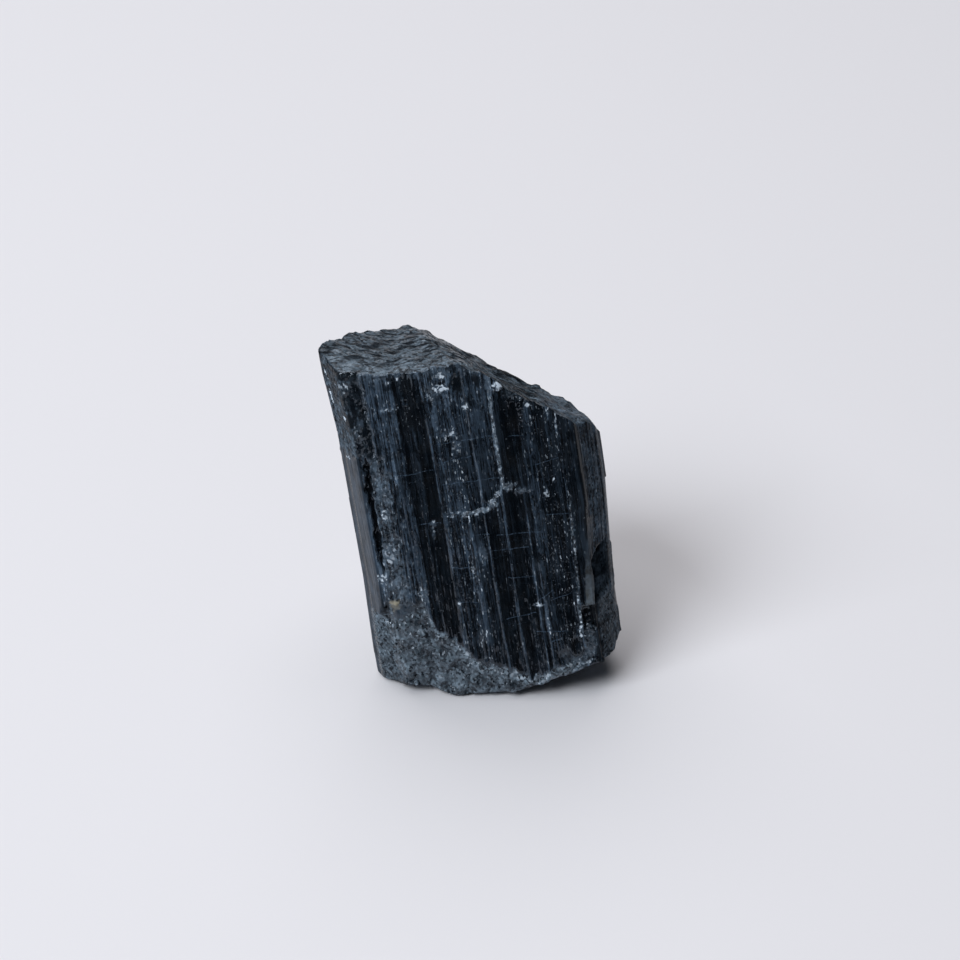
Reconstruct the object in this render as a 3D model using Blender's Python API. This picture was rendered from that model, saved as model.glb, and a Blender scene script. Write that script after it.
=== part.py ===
"""Black tourmaline crystal: a broken stub of a striated prism that stands on its lower break.

The prism has the rounded, three-sided section of schorl, with fine ribs along its long axis.
It leans back and to the left, because the lower break is not square to the axis.
Crystal coordinates: u to the right, v to the back, h along the axis, with h = 0 at the table.
"""
import math

import bmesh
import bpy
import numpy as np
from mathutils import Matrix

NAME = "tourmaline_crystal"

# How the crystal stands: the lean of its axis, and where the axis meets the table, which puts
# the origin under the middle of the whole crystal.
LEAN_BACK = math.radians(17.0)
LEAN_LEFT = math.radians(8.9)
AXIS_FOOT = (0.0046, -0.00675, 0.0)

# The prism before it broke: how far it runs past both breaks, and the height of its rows.
PRISM_BOTTOM = -0.008
PRISM_TOP = 0.056
ROW_HEIGHT = 0.0033

# Sides of the section, counter-clockwise from the front left corner. Each row gives the corner
# where the side starts (u, v), how far its middle bulges out, and its ribs' pitch and depth.
SIDES = (
    (-0.0152, -0.0112, 0.00100, 0.00120, 0.00024),
    (0.0146, -0.0108, 0.00040, 0.00150, 0.00016),
    (0.0180, -0.0040, 0.00230, 0.00190, 0.00022),
    (0.0034, 0.0125, 0.00110, 0.00200, 0.00012),
    (-0.0034, 0.0125, 0.00230, 0.00190, 0.00022),
    (-0.0177, -0.0054, 0.00010, 0.00220, 0.00004),
)
FRONT_V = -0.0122
HALF_WIDTH = 0.018
RIB_SEED = 11
RIB_UNEVENNESS = 0.35
RIB_WANDER = 0.00008
RIB_WANDER_LENGTH = 0.011

# How the width changes with height: the left edge flares at the top and at the foot, the right
# edge draws in toward the foot. Each has its amount and the heights where it begins and is full.
FLARE = (0.0006, 0.038, 0.046)
FOOT_FLARE = (0.0004, 0.016, 0.005)
DRAW_IN = (0.0010, 0.024, 0.009)

# Relief of every broken surface: height and spacing of its swells, ridges and grain.
SWELL = (0.00035, 0.0095)
RIDGE = (0.00040, 0.0052)
GRAIN = (0.00016, 0.0027)

# The upper break: its level on the front, its rise to the back, and its rise to the left, which
# fades toward the front. Its relief is finer than the other breaks'.
BREAK_LEVEL = 0.0459
BACK_RISE = 0.04
LEFT_RISE = 0.34
LEFT_RISE_FROM = -0.0082
LEFT_RISE_NONE_AT_V = -0.0165
LEFT_RISE_FULL_AT_V = -0.0050
TOP_RELIEF = 0.6
TOP_SEED = 21

# The shoulder: the slanting break on the upper right. It starts on the front at (u, h), falls
# to the right and to the back, falls less to the back further right, and rounds off at its end.
SHOULDER_START = (0.0022, 0.0450)
SHOULDER_FALL = 0.76
SHOULDER_BACK_FALL = 0.21
SHOULDER_TWIST_FROM = 0.0080
SHOULDER_TWIST = 14.5
SHOULDER_ROUND_FROM = 0.0165
SHOULDER_ROUND = 580.0
SHOULDER_RELIEF = 0.7
SHOULDER_SEED = 31

# The lower break, in table coordinates: a flat patch it stands on, and a rim that lifts.
FRONT_LIFT_FROM = -0.0060
FRONT_LIFT = 0.16
LEFT_LIFT_FROM = -0.0090
LEFT_LIFT = 4.0
RIGHT_LIFT_FROM = 0.0020
RIGHT_LIFT = 0.31
RIGHT_EDGE_FROM = 0.0120
RIGHT_EDGE_LIFT = 12.0
ROUGH_ABOVE = 0.0015
BASE_SEED = 41

# The granular break across the lower left of the front: its upper edge as (u, h), the small
# step there, and how fast it falls back below that edge.
GRANULAR_EDGE = (
    (-0.0160, 0.0125), (-0.0135, 0.0137), (-0.0092, 0.0130), (-0.0083, 0.0088),
    (-0.0055, 0.0062), (-0.0035, 0.0033), (-0.0003, 0.0018), (0.0040, -0.0006), (0.0120, 0.0010),
)
GRANULAR_STEP = 0.0006
GRANULAR_SLOPE = 0.085
GRANULAR_RELIEF = 0.5
GRANULAR_SEED = 51

# The sheet that flaked off the upper front: its outline as (u, h), and its depth.
FLAKE = (
    (-0.0046, 0.0500), (-0.0046, 0.0255), (-0.0030, 0.0248), (-0.0005, 0.0246), (0.0010, 0.0247),
    (0.0020, 0.0253), (0.0030, 0.0265), (0.0041, 0.0276), (0.0041, 0.0500),
)
FLAKE_DEPTH = 0.0006

# Splinters missing along the edges: centre (u, v, h), half sizes, and turn about the axis.
SPLINTERS = (
    ("groove", (-0.01430, -0.01170, 0.0268), (0.00045, 0.00080, 0.0078), math.radians(25.0)),
    ("notch", (0.01390, -0.01110, 0.0070), (0.00100, 0.00140, 0.0020), math.radians(40.0)),
    ("flank_recess", (0.01620, -0.00860, 0.0125), (0.00110, 0.00170, 0.0038), math.radians(62.0)),
    ("left_spall", (-0.01640, -0.01140, 0.0402), (0.00150, 0.00120, 0.0050), math.radians(20.0)),
)
SPLINTER_TIP = 0.5

# Cutters: the size and mesh of a rough block, and how far a cutter reaches past the prism.
BLOCK_WIDTH = 0.050
BLOCK_DEPTH = 0.044
GRID_SPACING = 0.0013
GRID_JITTER = 0.3
GRID_SEED = 7
CUTTER_REACH = 0.020
CLEARANCE = 0.0015
CAP_WELD = 0.00001


def clear_scene():
    """Remove whatever the file opened with."""
    for thing in list(bpy.data.objects):
        bpy.data.objects.remove(thing, do_unlink=True)


def new_collection(name):
    """A collection linked to the scene."""
    group = bpy.data.collections.new(name)
    bpy.context.scene.collection.children.link(group)
    return group


def lumps(x, y, spacing, seed):
    """Smooth hills and hollows between about -1 and 1, roughly one spacing apart."""
    rng = np.random.default_rng(seed)
    total = np.zeros_like(x)
    waves = 6
    for _ in range(waves):
        turn, phase = rng.uniform(0.0, 2.0 * math.pi, 2)
        pace = 2.0 * math.pi * rng.uniform(0.7, 1.35) / spacing
        total += np.sin((x * math.cos(turn) + y * math.sin(turn)) * pace + phase)
    return total / math.sqrt(waves)


def relief(x, y, seed):
    """Relief of a broken surface: broad swells, with sharper ridges and grain on them."""
    swell = SWELL[0] * lumps(x, y, SWELL[1], seed)
    ridge = RIDGE[0] * (0.5 - np.abs(lumps(x, y, RIDGE[1], seed + 1)))
    grain = GRAIN[0] * lumps(x, y, GRAIN[1], seed + 2)
    return swell + ridge + grain


def ramp(value, start, full):
    """0 at start, 1 at full, straight in between."""
    return np.clip((value - start) / (full - start), 0.0, 1.0)


def section_outline():
    """Points (u, v) once round the section: crest and foot of every rib, side after side."""
    rng = np.random.default_rng(RIB_SEED)
    points = []
    for index, (u0, v0, bulge, pitch, depth) in enumerate(SIDES):
        u1, v1 = SIDES[(index + 1) % len(SIDES)][:2]
        length = math.hypot(u1 - u0, v1 - v0)
        out = ((v1 - v0) / length, (u0 - u1) / length)
        columns = 2 * round(length / pitch)
        for column in range(columns):
            is_foot = column % 2
            along = (column + RIB_UNEVENNESS * is_foot * rng.uniform(-1.0, 1.0)) / columns
            rise = 4.0 * bulge * along * (1.0 - along)
            rise += depth * is_foot * rng.uniform(-1.0, 0.4)
            u = u0 + (u1 - u0) * along + out[0] * rise
            v = v0 + (v1 - v0) * along + out[1] * rise
            points.append((u, v))
    return np.array(points)


def wall(outline, column, h):
    """Place of the wall at one column and height: its ribs wander, and its width changes."""
    u = outline[column, 0]
    v = outline[column, 1]
    reach = np.hypot(u, v)
    wander = RIB_WANDER * lumps(2.0 * u + v, h, RIB_WANDER_LENGTH, RIB_SEED)
    to_left = np.clip(-u / HALF_WIDTH, 0.0, 1.0)
    to_right = np.clip(u / HALF_WIDTH, 0.0, 1.0)
    flare = FLARE[0] * ramp(h, FLARE[1], FLARE[2])
    flare += FOOT_FLARE[0] * ramp(h, FOOT_FLARE[1], FOOT_FLARE[2])
    draw_in = DRAW_IN[0] * ramp(h, DRAW_IN[1], DRAW_IN[2])
    wall_u = u + wander * u / reach - flare * to_left - draw_in * to_right
    wall_v = v + wander * v / reach
    return wall_u, wall_v


def make_prism():
    """The whole prism: a cylinder with one segment a rib flank, cut in rows and shaped."""
    outline = section_outline()
    columns = len(outline)
    bm = bmesh.new()
    bmesh.ops.create_cone(
        bm, cap_ends=True, segments=columns, radius1=1.0, radius2=1.0, depth=1.0
    )
    upright = [edge for edge in bm.edges if edge.verts[0].co.z * edge.verts[1].co.z < 0.0]
    rows = round((PRISM_TOP - PRISM_BOTTOM) / ROW_HEIGHT)
    bmesh.ops.subdivide_edges(bm, edges=upright, cuts=rows - 1, use_grid_fill=True)
    place = np.array([vert.co for vert in bm.verts])
    angle = np.arctan2(place[:, 1], place[:, 0])
    column = np.rint(angle / (2.0 * math.pi) * columns).astype(int) % columns
    h = PRISM_BOTTOM + (place[:, 2] + 0.5) * (PRISM_TOP - PRISM_BOTTOM)
    u, v = wall(outline, column, h)
    for vert, co in zip(bm.verts, np.column_stack((u, v, h))):
        vert.co = co
    return bm


def rough_block(surface, far):
    """A closed block: an uneven grid raised to surface(x, y), thickened to the level far."""
    bm = bmesh.new()
    bmesh.ops.create_grid(
        bm, x_segments=round(BLOCK_WIDTH / GRID_SPACING),
        y_segments=round(BLOCK_DEPTH / GRID_SPACING), size=0.5,
    )
    place = np.array([vert.co for vert in bm.verts])
    inside = np.abs(place[:, :2]).max(axis=1) < 0.49
    jitter = np.random.default_rng(GRID_SEED).uniform(-GRID_JITTER, GRID_JITTER, (len(place), 2))
    place[:, :2] *= (BLOCK_WIDTH, BLOCK_DEPTH)
    place[:, :2] += GRID_SPACING * jitter * inside[:, None]
    place[:, 2] = surface(place[:, 0], place[:, 1])
    for vert, co in zip(bm.verts, place):
        vert.co = co
    grown = bmesh.ops.extrude_face_region(bm, geom=bm.faces[:])
    for item in grown["geom"]:
        if isinstance(item, bmesh.types.BMVert):
            item.co.z = far
    bmesh.ops.recalc_face_normals(bm, faces=bm.faces)
    return bm


def top_level(u, v):
    """Upper break: nearly square to the axis, rising to its left edge and a little to the back."""
    left = np.clip(LEFT_RISE_FROM - u, 0.0, None)
    left *= ramp(v, LEFT_RISE_NONE_AT_V, LEFT_RISE_FULL_AT_V)
    level = BREAK_LEVEL + LEFT_RISE * left + BACK_RISE * (v - FRONT_V)
    return level + TOP_RELIEF * relief(u, v, TOP_SEED)


def shoulder_level(u, v):
    """Shoulder: a twisted plane that falls to the right and to the back."""
    level = SHOULDER_START[1] - SHOULDER_FALL * (u - SHOULDER_START[0])
    level -= SHOULDER_ROUND * np.clip(u - SHOULDER_ROUND_FROM, 0.0, None) ** 2
    twist = SHOULDER_TWIST * np.clip(u - SHOULDER_TWIST_FROM, 0.0, None)
    level -= (SHOULDER_BACK_FALL - twist) * (v - FRONT_V)
    return level + SHOULDER_RELIEF * relief(u, v, SHOULDER_SEED)


def base_level(x, y):
    """Lower break over the table: flat where it stands, lifting to the front, left and right."""
    lift = FRONT_LIFT * np.clip(FRONT_LIFT_FROM - y, 0.0, None)
    lift += LEFT_LIFT * np.clip(LEFT_LIFT_FROM - x, 0.0, None) ** 2
    lift += RIGHT_LIFT * np.clip(x - RIGHT_LIFT_FROM, 0.0, None)
    lift += RIGHT_EDGE_LIFT * np.clip(x - RIGHT_EDGE_FROM, 0.0, None) ** 2
    lift += ramp(lift, 0.0, ROUGH_ABOVE) * relief(x, y, BASE_SEED)
    return np.clip(lift, 0.0, None)


def granular_front(u, h):
    """How far the granular break lies before the axis: clear of the prism above its edge."""
    edge = np.array(GRANULAR_EDGE)
    below = np.interp(u, edge[:, 0], edge[:, 1]) - h
    depth = GRANULAR_STEP + GRANULAR_SLOPE * below + GRANULAR_RELIEF * relief(u, h, GRANULAR_SEED)
    return -FRONT_V - np.where(below > 0.0, depth, -CLEARANCE)


def flake_block():
    """The flaked sheet: its outline, filled and thickened, turned to face the front."""
    curve = bpy.data.curves.new("flake_outline", "CURVE")
    curve.dimensions = "2D"
    curve.fill_mode = "BOTH"
    curve.extrude = (CUTTER_REACH + FLAKE_DEPTH) / 2.0
    spline = curve.splines.new("POLY")
    spline.points.add(len(FLAKE) - 1)
    for point, (u, h) in zip(spline.points, FLAKE):
        point.co = (u, h, 0.0, 1.0)
    spline.use_cyclic_u = True
    drawn = bpy.data.objects.new("flake_outline", curve)
    bpy.context.scene.collection.objects.link(drawn)
    seen = drawn.evaluated_get(bpy.context.evaluated_depsgraph_get())
    bm = bmesh.new()
    bm.from_mesh(seen.to_mesh())
    seen.to_mesh_clear()
    bpy.data.objects.remove(drawn, do_unlink=True)
    bmesh.ops.remove_doubles(bm, verts=bm.verts, dist=CAP_WELD)
    bmesh.ops.rotate(bm, matrix=Matrix.Rotation(math.radians(90.0), 3, "X"), verts=bm.verts)
    return bm


def splinter(half_sizes, turn):
    """A block drawn in at both ends and turned about the crystal's axis."""
    bm = bmesh.new()
    bmesh.ops.create_cube(bm, size=2.0)
    upright = [edge for edge in bm.edges if edge.verts[0].co.z * edge.verts[1].co.z < 0.0]
    bmesh.ops.subdivide_edges(bm, edges=upright, cuts=2, use_grid_fill=True)
    ends = [vert for vert in bm.verts if abs(vert.co.z) > 0.9]
    bmesh.ops.scale(bm, vec=(SPLINTER_TIP, SPLINTER_TIP, 1.0), verts=ends)
    bmesh.ops.scale(bm, vec=half_sizes, verts=bm.verts)
    bmesh.ops.rotate(bm, matrix=Matrix.Rotation(turn, 3, "Z"), verts=bm.verts)
    return bm


def add_object(name, bm, group, holder):
    """Turn a bmesh into an object of triangles that hangs on the holder."""
    bmesh.ops.triangulate(bm, faces=bm.faces)
    mesh = bpy.data.meshes.new(name)
    bm.to_mesh(mesh)
    bm.free()
    thing = bpy.data.objects.new(name, mesh)
    group.objects.link(thing)
    thing.parent = holder
    return thing


def add_cutter(name, bm, target, group, holder):
    """Add a hidden cutter and take it away from the target."""
    cutter = add_object(name, bm, group, holder)
    cutter.hide_render = True
    cutter.display_type = "WIRE"
    cut = target.modifiers.new(name, "BOOLEAN")
    cut.operation = "DIFFERENCE"
    cut.solver = "EXACT"
    cut.object = cutter
    return cutter


def schorl():
    """Near-black glassy tourmaline."""
    material = bpy.data.materials.new("schorl")
    material.use_nodes = True
    shader = material.node_tree.nodes["Principled BSDF"]
    shader.inputs["Base Color"].default_value = (0.012, 0.015, 0.020, 1.0)
    shader.inputs["Roughness"].default_value = 0.3
    shader.inputs["Metallic"].default_value = 0.0
    return material


def build():
    """The crystal, broken out of the prism by its cutters."""
    clear_scene()
    parts = new_collection(NAME)
    cutters = new_collection(NAME + "_cutters")
    table = bpy.data.objects.new("table_axes", None)
    axis = bpy.data.objects.new("crystal_axis", None)
    for holder in (table, axis):
        parts.objects.link(holder)
        holder.location = AXIS_FOOT
    lean = Matrix.Rotation(-LEAN_BACK, 3, "X") @ Matrix.Rotation(-LEAN_LEFT, 3, "Y")
    axis.rotation_euler = lean.to_euler()

    crystal = add_object(NAME, make_prism(), parts, axis)
    crystal.data.materials.append(schorl())

    above = PRISM_TOP + CUTTER_REACH
    add_cutter("upper_break", rough_block(top_level, above), crystal, cutters, axis)
    add_cutter("shoulder_break", rough_block(shoulder_level, above), crystal, cutters, axis)
    add_cutter("lower_break", rough_block(base_level, -CUTTER_REACH), crystal, cutters, table)

    before = CUTTER_REACH - FRONT_V
    granular = add_cutter(
        "granular_break", rough_block(granular_front, before), crystal, cutters, axis
    )
    granular.rotation_euler.x = math.radians(90.0)
    flake = add_cutter("flake", flake_block(), crystal, cutters, axis)
    flake.location.y = FRONT_V + (FLAKE_DEPTH - CUTTER_REACH) / 2.0
    for name, centre, half_sizes, turn in SPLINTERS:
        missing = add_cutter(name, splinter(half_sizes, turn), crystal, cutters, axis)
        missing.location = centre

    crystal.modifiers.new("triangles", "TRIANGULATE")


build()
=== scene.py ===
"""Looks of a black tourmaline crystal: its ribbed prism, its breaks, and the light it stands in.

Lengths are in metres. Crystal coordinates: u to the right, v to the back, h along the prism's
axis, with h = 0 where the axis meets the table.
"""
import math
from functools import partial

import bpy
import numpy as np
from mathutils import Matrix, Vector


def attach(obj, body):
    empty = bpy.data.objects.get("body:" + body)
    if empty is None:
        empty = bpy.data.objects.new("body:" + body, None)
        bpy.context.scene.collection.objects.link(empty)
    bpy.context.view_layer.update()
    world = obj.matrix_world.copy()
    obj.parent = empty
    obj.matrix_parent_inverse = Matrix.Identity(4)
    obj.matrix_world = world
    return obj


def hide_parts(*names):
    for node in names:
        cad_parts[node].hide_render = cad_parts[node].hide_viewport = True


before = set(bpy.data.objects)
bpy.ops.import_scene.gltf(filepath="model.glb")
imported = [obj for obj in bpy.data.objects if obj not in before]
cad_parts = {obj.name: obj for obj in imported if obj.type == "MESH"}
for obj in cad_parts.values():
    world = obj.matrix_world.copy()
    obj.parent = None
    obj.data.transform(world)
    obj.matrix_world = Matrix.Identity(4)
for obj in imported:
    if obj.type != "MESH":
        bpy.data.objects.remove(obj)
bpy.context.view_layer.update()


# ---- The prism ----
# One crystal of schorl with the rounded three-sided section of tourmaline. It grew with fine
# ribs along its axis, and stands on its lower break, so the axis leans back and to the left.

LEAN_BACK = math.radians(17.0)
LEAN_LEFT = math.radians(8.9)
AXIS_FOOT = (0.0046, -0.00675, 0.0)
LEAN = Matrix.Rotation(-LEAN_BACK, 3, "X") @ Matrix.Rotation(-LEAN_LEFT, 3, "Y")

# Each side: the corner where it starts (u, v), how far its middle bulges, its column spacing.
SIDES = (
    (-0.0152, -0.0112, 0.001, 0.000125),
    (0.0146, -0.0108, 0.0004, 0.00016),
    (0.018, -0.004, 0.0023, 0.00042),
    (0.0034, 0.0125, 0.0011, 0.00042),
    (-0.0034, 0.0125, 0.0023, 0.00042),
    (-0.0177, -0.0054, 0.0001, 0.00016),
)
FRONT_V = -0.0122
HALF_WIDTH = 0.018
# How the width changes: by how much, then the heights where that begins and is full.
FLARE = (0.0006, 0.038, 0.046)
FOOT_FLARE = (0.0004, 0.016, 0.005)
DRAW_IN = (0.0010, 0.024, 0.009)
CORNER_SMOOTHINGS = 4


def ramp(value, start, full):
    """0 at start, 1 at full, straight in between; full may lie below start."""
    return np.clip((value - start) / (full - start), 0.0, 1.0)


def section_columns():
    """Columns round the section: place (u, v), outward direction, arc length from the first.

    Each side is a straight run between two corners plus a parabola for its bulge. Outward is
    square to the step to the next column, averaged a few times with the columns beside it.
    """
    runs = []
    for index, (u0, v0, bulge, spacing) in enumerate(SIDES):
        u1, v1 = SIDES[(index + 1) % len(SIDES)][:2]
        length = math.hypot(u1 - u0, v1 - v0)
        along = np.arange(round(length / spacing)) / round(length / spacing)
        rise = 4.0 * bulge * along * (1.0 - along)
        u = u0 + (u1 - u0) * along + (v1 - v0) / length * rise
        v = v0 + (v1 - v0) * along + (u0 - u1) / length * rise
        runs.append(np.stack((u, v)))
    place = np.concatenate(runs, axis=1)
    step = np.roll(place, -1, axis=1) - place
    length = np.hypot(*step)
    out = np.stack((step[1], -step[0])) / length
    for _ in range(CORNER_SMOOTHINGS):
        out = out + np.roll(out, 1, axis=1) + np.roll(out, -1, axis=1)
    out /= np.hypot(*out)
    return place, out, np.concatenate(([0.0], np.cumsum(length)[:-1]))


def change_of_width(u, h):
    """The left edge flares at top and foot, and the right edge draws in toward the foot."""
    flare = FLARE[0] * ramp(h, *FLARE[1:]) + FOOT_FLARE[0] * ramp(h, *FOOT_FLARE[1:])
    draw_in = DRAW_IN[0] * ramp(h, *DRAW_IN[1:])
    return -flare * ramp(u, 0.0, -HALF_WIDTH) - draw_in * ramp(u, 0.0, HALF_WIDTH)


# ---- The breaks ----
# The crystal snapped off at the top, along a slanting shoulder, and at the foot. A break of
# schorl is hackly: broad swells, then ridges, then grains and flat facets.

# Relief of a break: height and spacing of its swells, ridges and grain.
SWELL = (0.00035, 0.0095)
RIDGE = (0.00040, 0.0052)
GRAIN = (0.00016, 0.0027)
# Hills are sums of this many waves, and so many of them go to a spacing.
WAVES = 6
WAVES_TO_A_SPACING = (0.7, 1.35)
# Facets lie in cells with jittered centres, each with its own level and slope from a table.
CELL_TABLE = 4096
CELL_KEY = (157, 311)
CELL_JITTER = 0.45
CELL_LEVEL = 0.6
# The upper break: its level on the front, its rise to the back, and its rise to the left, which
# fades toward the front.
BREAK_LEVEL = 0.0459
BACK_RISE = 0.04
LEFT_RISE = 0.34
LEFT_RISE_FROM = -0.0082
LEFT_RISE_FADE = (-0.0165, -0.0050)
TOP_RELIEF = 0.40
TOP_SEED = 21
# The shoulder starts on the front at (u, h), falls to the right and to the back, falls less to
# the back further right, and rounds off at its end.
SHOULDER_START = (0.0022, 0.0450)
SHOULDER_FALL = 0.76
SHOULDER_BACK_FALL = 0.21
SHOULDER_TWIST_FROM = 0.0080
SHOULDER_TWIST = 14.5
SHOULDER_ROUND_FROM = 0.0165
SHOULDER_ROUND = 580.0
SHOULDER_RELIEF = 0.7
SHOULDER_SEED = 31
# A wedge lies proud on the lower half of the shoulder, from a small step.
WEDGE_FROM, WEDGE_TO = 0.0100, 0.0160
WEDGE_STEP, WEDGE_STEP_LENGTH = 0.0004, 0.0008
# Facets of both: how far they slant across v, how v is squeezed, their size, height and seed.
TOP_FACETS = (
    (0.3, 1.6, 0.0019, 0.00007, 24),
    (0.0, 1.3, 0.0009, 0.0001, 25),
)
# The lower break: where its rim begins to lift, and how steeply.
FRONT_LIFT_FROM = -0.0060
FRONT_LIFT = 0.16
LEFT_LIFT_FROM = -0.0090
LEFT_LIFT = 4.0
RIGHT_LIFT_FROM = 0.0020
RIGHT_LIFT = 0.31
RIGHT_EDGE_FROM = 0.0120
RIGHT_EDGE_LIFT = 12.0
ROUGH_ABOVE = 0.0015
BASE_RELIEF = 0.5
BASE_FACET_SIZE, BASE_FACET_HEIGHT = 0.0009, 0.00010
BASE_SEED = 41
# Chips of the front rim of the foot, and one tooth: where (x), how wide, how high they lift it.
RIM_CHIPS = ((-0.0125, 0.0036, 0.0009), (-0.0068, 0.0022, -0.0007), (0.0115, 0.0050, 0.0018))
RIM_FROM, RIM_FULL = -0.0080, -0.0120
FOOT_STEPS = 8


def lumps(x, y, spacing, seed):
    """Smooth hills and hollows: sine waves in random directions, roughly one spacing long."""
    rng = np.random.default_rng(seed)
    total = 0.0
    for _ in range(WAVES):
        turn, phase = rng.uniform(0.0, 2.0 * math.pi, 2)
        pace = 2.0 * math.pi * rng.uniform(*WAVES_TO_A_SPACING) / spacing
        total = total + np.sin((x * math.cos(turn) + y * math.sin(turn)) * pace + phase)
    return total / math.sqrt(WAVES)


def wavering(x, y, wave):
    """Hills and hollows given by a wave: its height, spacing and seed."""
    height, spacing, seed = wave
    return height * lumps(x, y, spacing, seed)


def relief(x, y, seed):
    """Relief of a broken surface: broad swells, with sharper ridges and grain on them."""
    ridge = RIDGE[0] * (0.5 - np.abs(lumps(x, y, RIDGE[1], seed + 1)))
    return wavering(x, y, (*SWELL, seed)) + ridge + wavering(x, y, (*GRAIN, seed + 2))


def facets(x, y, size, seed):
    """Flat facets: every point takes the nearest of the jittered cell centres around it, and
    its height is that cell's own level plus that cell's own slope times the distance from it.
    Returns the height, from about -1 to 1, and a random shade of the cell, from 0 to 1.
    """
    table = np.random.default_rng(seed).uniform(-1.0, 1.0, (6, CELL_TABLE))
    nearest = np.full(np.shape(x), np.inf)
    height = np.zeros(np.shape(x))
    shade = np.zeros(np.shape(x))
    for step_x in (-1, 0, 1):
        for step_y in (-1, 0, 1):
            cell_x = np.floor(x / size) + step_x
            cell_y = np.floor(y / size) + step_y
            key = (cell_x * CELL_KEY[0] + cell_y * CELL_KEY[1]).astype(int) % CELL_TABLE
            from_x = x / size - cell_x - 0.5 - CELL_JITTER * table[0, key]
            from_y = y / size - cell_y - 0.5 - CELL_JITTER * table[1, key]
            distance = from_x ** 2 + from_y ** 2
            closer = distance < nearest
            sloped = CELL_LEVEL * table[2, key] + table[3, key] * from_x + table[4, key] * from_y
            nearest = np.where(closer, distance, nearest)
            height = np.where(closer, sloped, height)
            shade = np.where(closer, 0.5 + 0.5 * table[5, key], shade)
    return height, shade


def upper_level(u, v):
    """Height of the upper break and the shoulder, whichever is lower, and its facets' shade."""
    left = np.clip(LEFT_RISE_FROM - u, 0.0, None)
    left *= ramp(v, *LEFT_RISE_FADE)
    top = BREAK_LEVEL + LEFT_RISE * left + BACK_RISE * (v - FRONT_V)
    top += TOP_RELIEF * relief(u, v, TOP_SEED)
    shoulder = SHOULDER_START[1] - SHOULDER_FALL * (u - SHOULDER_START[0])
    shoulder -= SHOULDER_ROUND * np.clip(u - SHOULDER_ROUND_FROM, 0.0, None) ** 2
    twist = SHOULDER_TWIST * np.clip(u - SHOULDER_TWIST_FROM, 0.0, None)
    shoulder -= (SHOULDER_BACK_FALL - twist) * (v - FRONT_V)
    shoulder += SHOULDER_RELIEF * relief(u, v, SHOULDER_SEED)
    step = ramp(u, WEDGE_FROM - WEDGE_STEP_LENGTH, WEDGE_FROM) * ramp(u, WEDGE_TO, WEDGE_FROM)
    shoulder += WEDGE_STEP * step
    level = np.minimum(top, shoulder)
    shade = 0.0
    for slant, squeeze, size, height, seed in TOP_FACETS:
        facet, facet_shade = facets(u + slant * v, squeeze * v, size, seed)
        level = level + height * facet
        shade = shade + facet_shade / len(TOP_FACETS)
    return level, shade


def lower_level(x, y):
    """Height of the lower break over the table: flat where it stands, its rim lifting."""
    lift = FRONT_LIFT * np.clip(FRONT_LIFT_FROM - y, 0.0, None)
    lift += LEFT_LIFT * np.clip(LEFT_LIFT_FROM - x, 0.0, None) ** 2
    lift += RIGHT_LIFT * np.clip(x - RIGHT_LIFT_FROM, 0.0, None)
    lift += RIGHT_EDGE_LIFT * np.clip(x - RIGHT_EDGE_FROM, 0.0, None) ** 2
    for chip_x, width, height in RIM_CHIPS:
        lift += height * np.exp(-((x - chip_x) / width) ** 2) * ramp(y, RIM_FROM, RIM_FULL)
    facet, _ = facets(x, y, BASE_FACET_SIZE, BASE_SEED + 4)
    rough = BASE_RELIEF * relief(x, y, BASE_SEED) + BASE_FACET_HEIGHT * facet
    return np.clip(lift + ramp(lift, 0.0, ROUGH_ABOVE) * rough, 0.0, None)


def foot_height(u, v):
    """h where the line along the axis through (u, v) meets the lower break.

    The break is a height over the table, so the meeting point is found by stepping: place the
    point, read the break's height there, and move the point along the axis onto it.
    """
    h = np.zeros_like(u)
    for _ in range(FOOT_STEPS):
        x = LEAN[0][0] * u + LEAN[0][1] * v + LEAN[0][2] * h
        y = LEAN[1][0] * u + LEAN[1][1] * v + LEAN[1][2] * h
        h = (lower_level(x, y) - LEAN[2][0] * u - LEAN[2][1] * v) / LEAN[2][2]
    return h


# ---- Finish of the skin ----
# The same mineral is black where it is glassy and pale where it is broken small. Each point of
# the skin holds its frost, dullness, ribs, flakes, grains, crumbs, bare white chips, cream
# mineral, and its distance to a hairline crack. Tables from here on are in millimetres.
# The pale finish is painted white: chips and edges that catch the light, as highlights.

FINISHES = ("frost", "dull", "ribbed", "flaky", "grain", "speckle", "pale", "cream", "crack")
NO_CRACK = 1.0
MM = 0.001
# The ragged edge of a spot: its wave (height, spacing, seed), and where it begins and is full.
SPOT_WAVE = (0.30, 0.6, 55)
SPOT_OUTER, SPOT_INNER = 1.3, 0.8


def window(value, low, high, soft):
    """1 between low and high, falling to 0 over soft on either side."""
    return np.minimum(ramp(value, low - soft, low), ramp(value, high + soft, high))


def between(ends, share):
    """The first end where share is 0, the second where it is 1, straight in between."""
    return ends[0] + (ends[1] - ends[0]) * share


def cover(finish, mask, values, shade=0.0):
    """Lay new values over a finish where mask is 1; a pair runs from shade 0 to shade 1."""
    for name, value in values.items():
        if isinstance(value, tuple):
            value = between(value, shade)
        finish[name] = finish[name] * (1.0 - mask) + value * mask


def spot(u, h, place):
    """1 inside a ragged ellipse given by its centre and half sizes, with a soft edge."""
    centre_u, centre_h, half_u, half_h = place
    distance = np.hypot((u - centre_u) / half_u, (h - centre_h) / half_h)
    distance *= 1.0 + wavering(u, h, SPOT_WAVE)
    return ramp(distance, SPOT_OUTER, SPOT_INNER)


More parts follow.
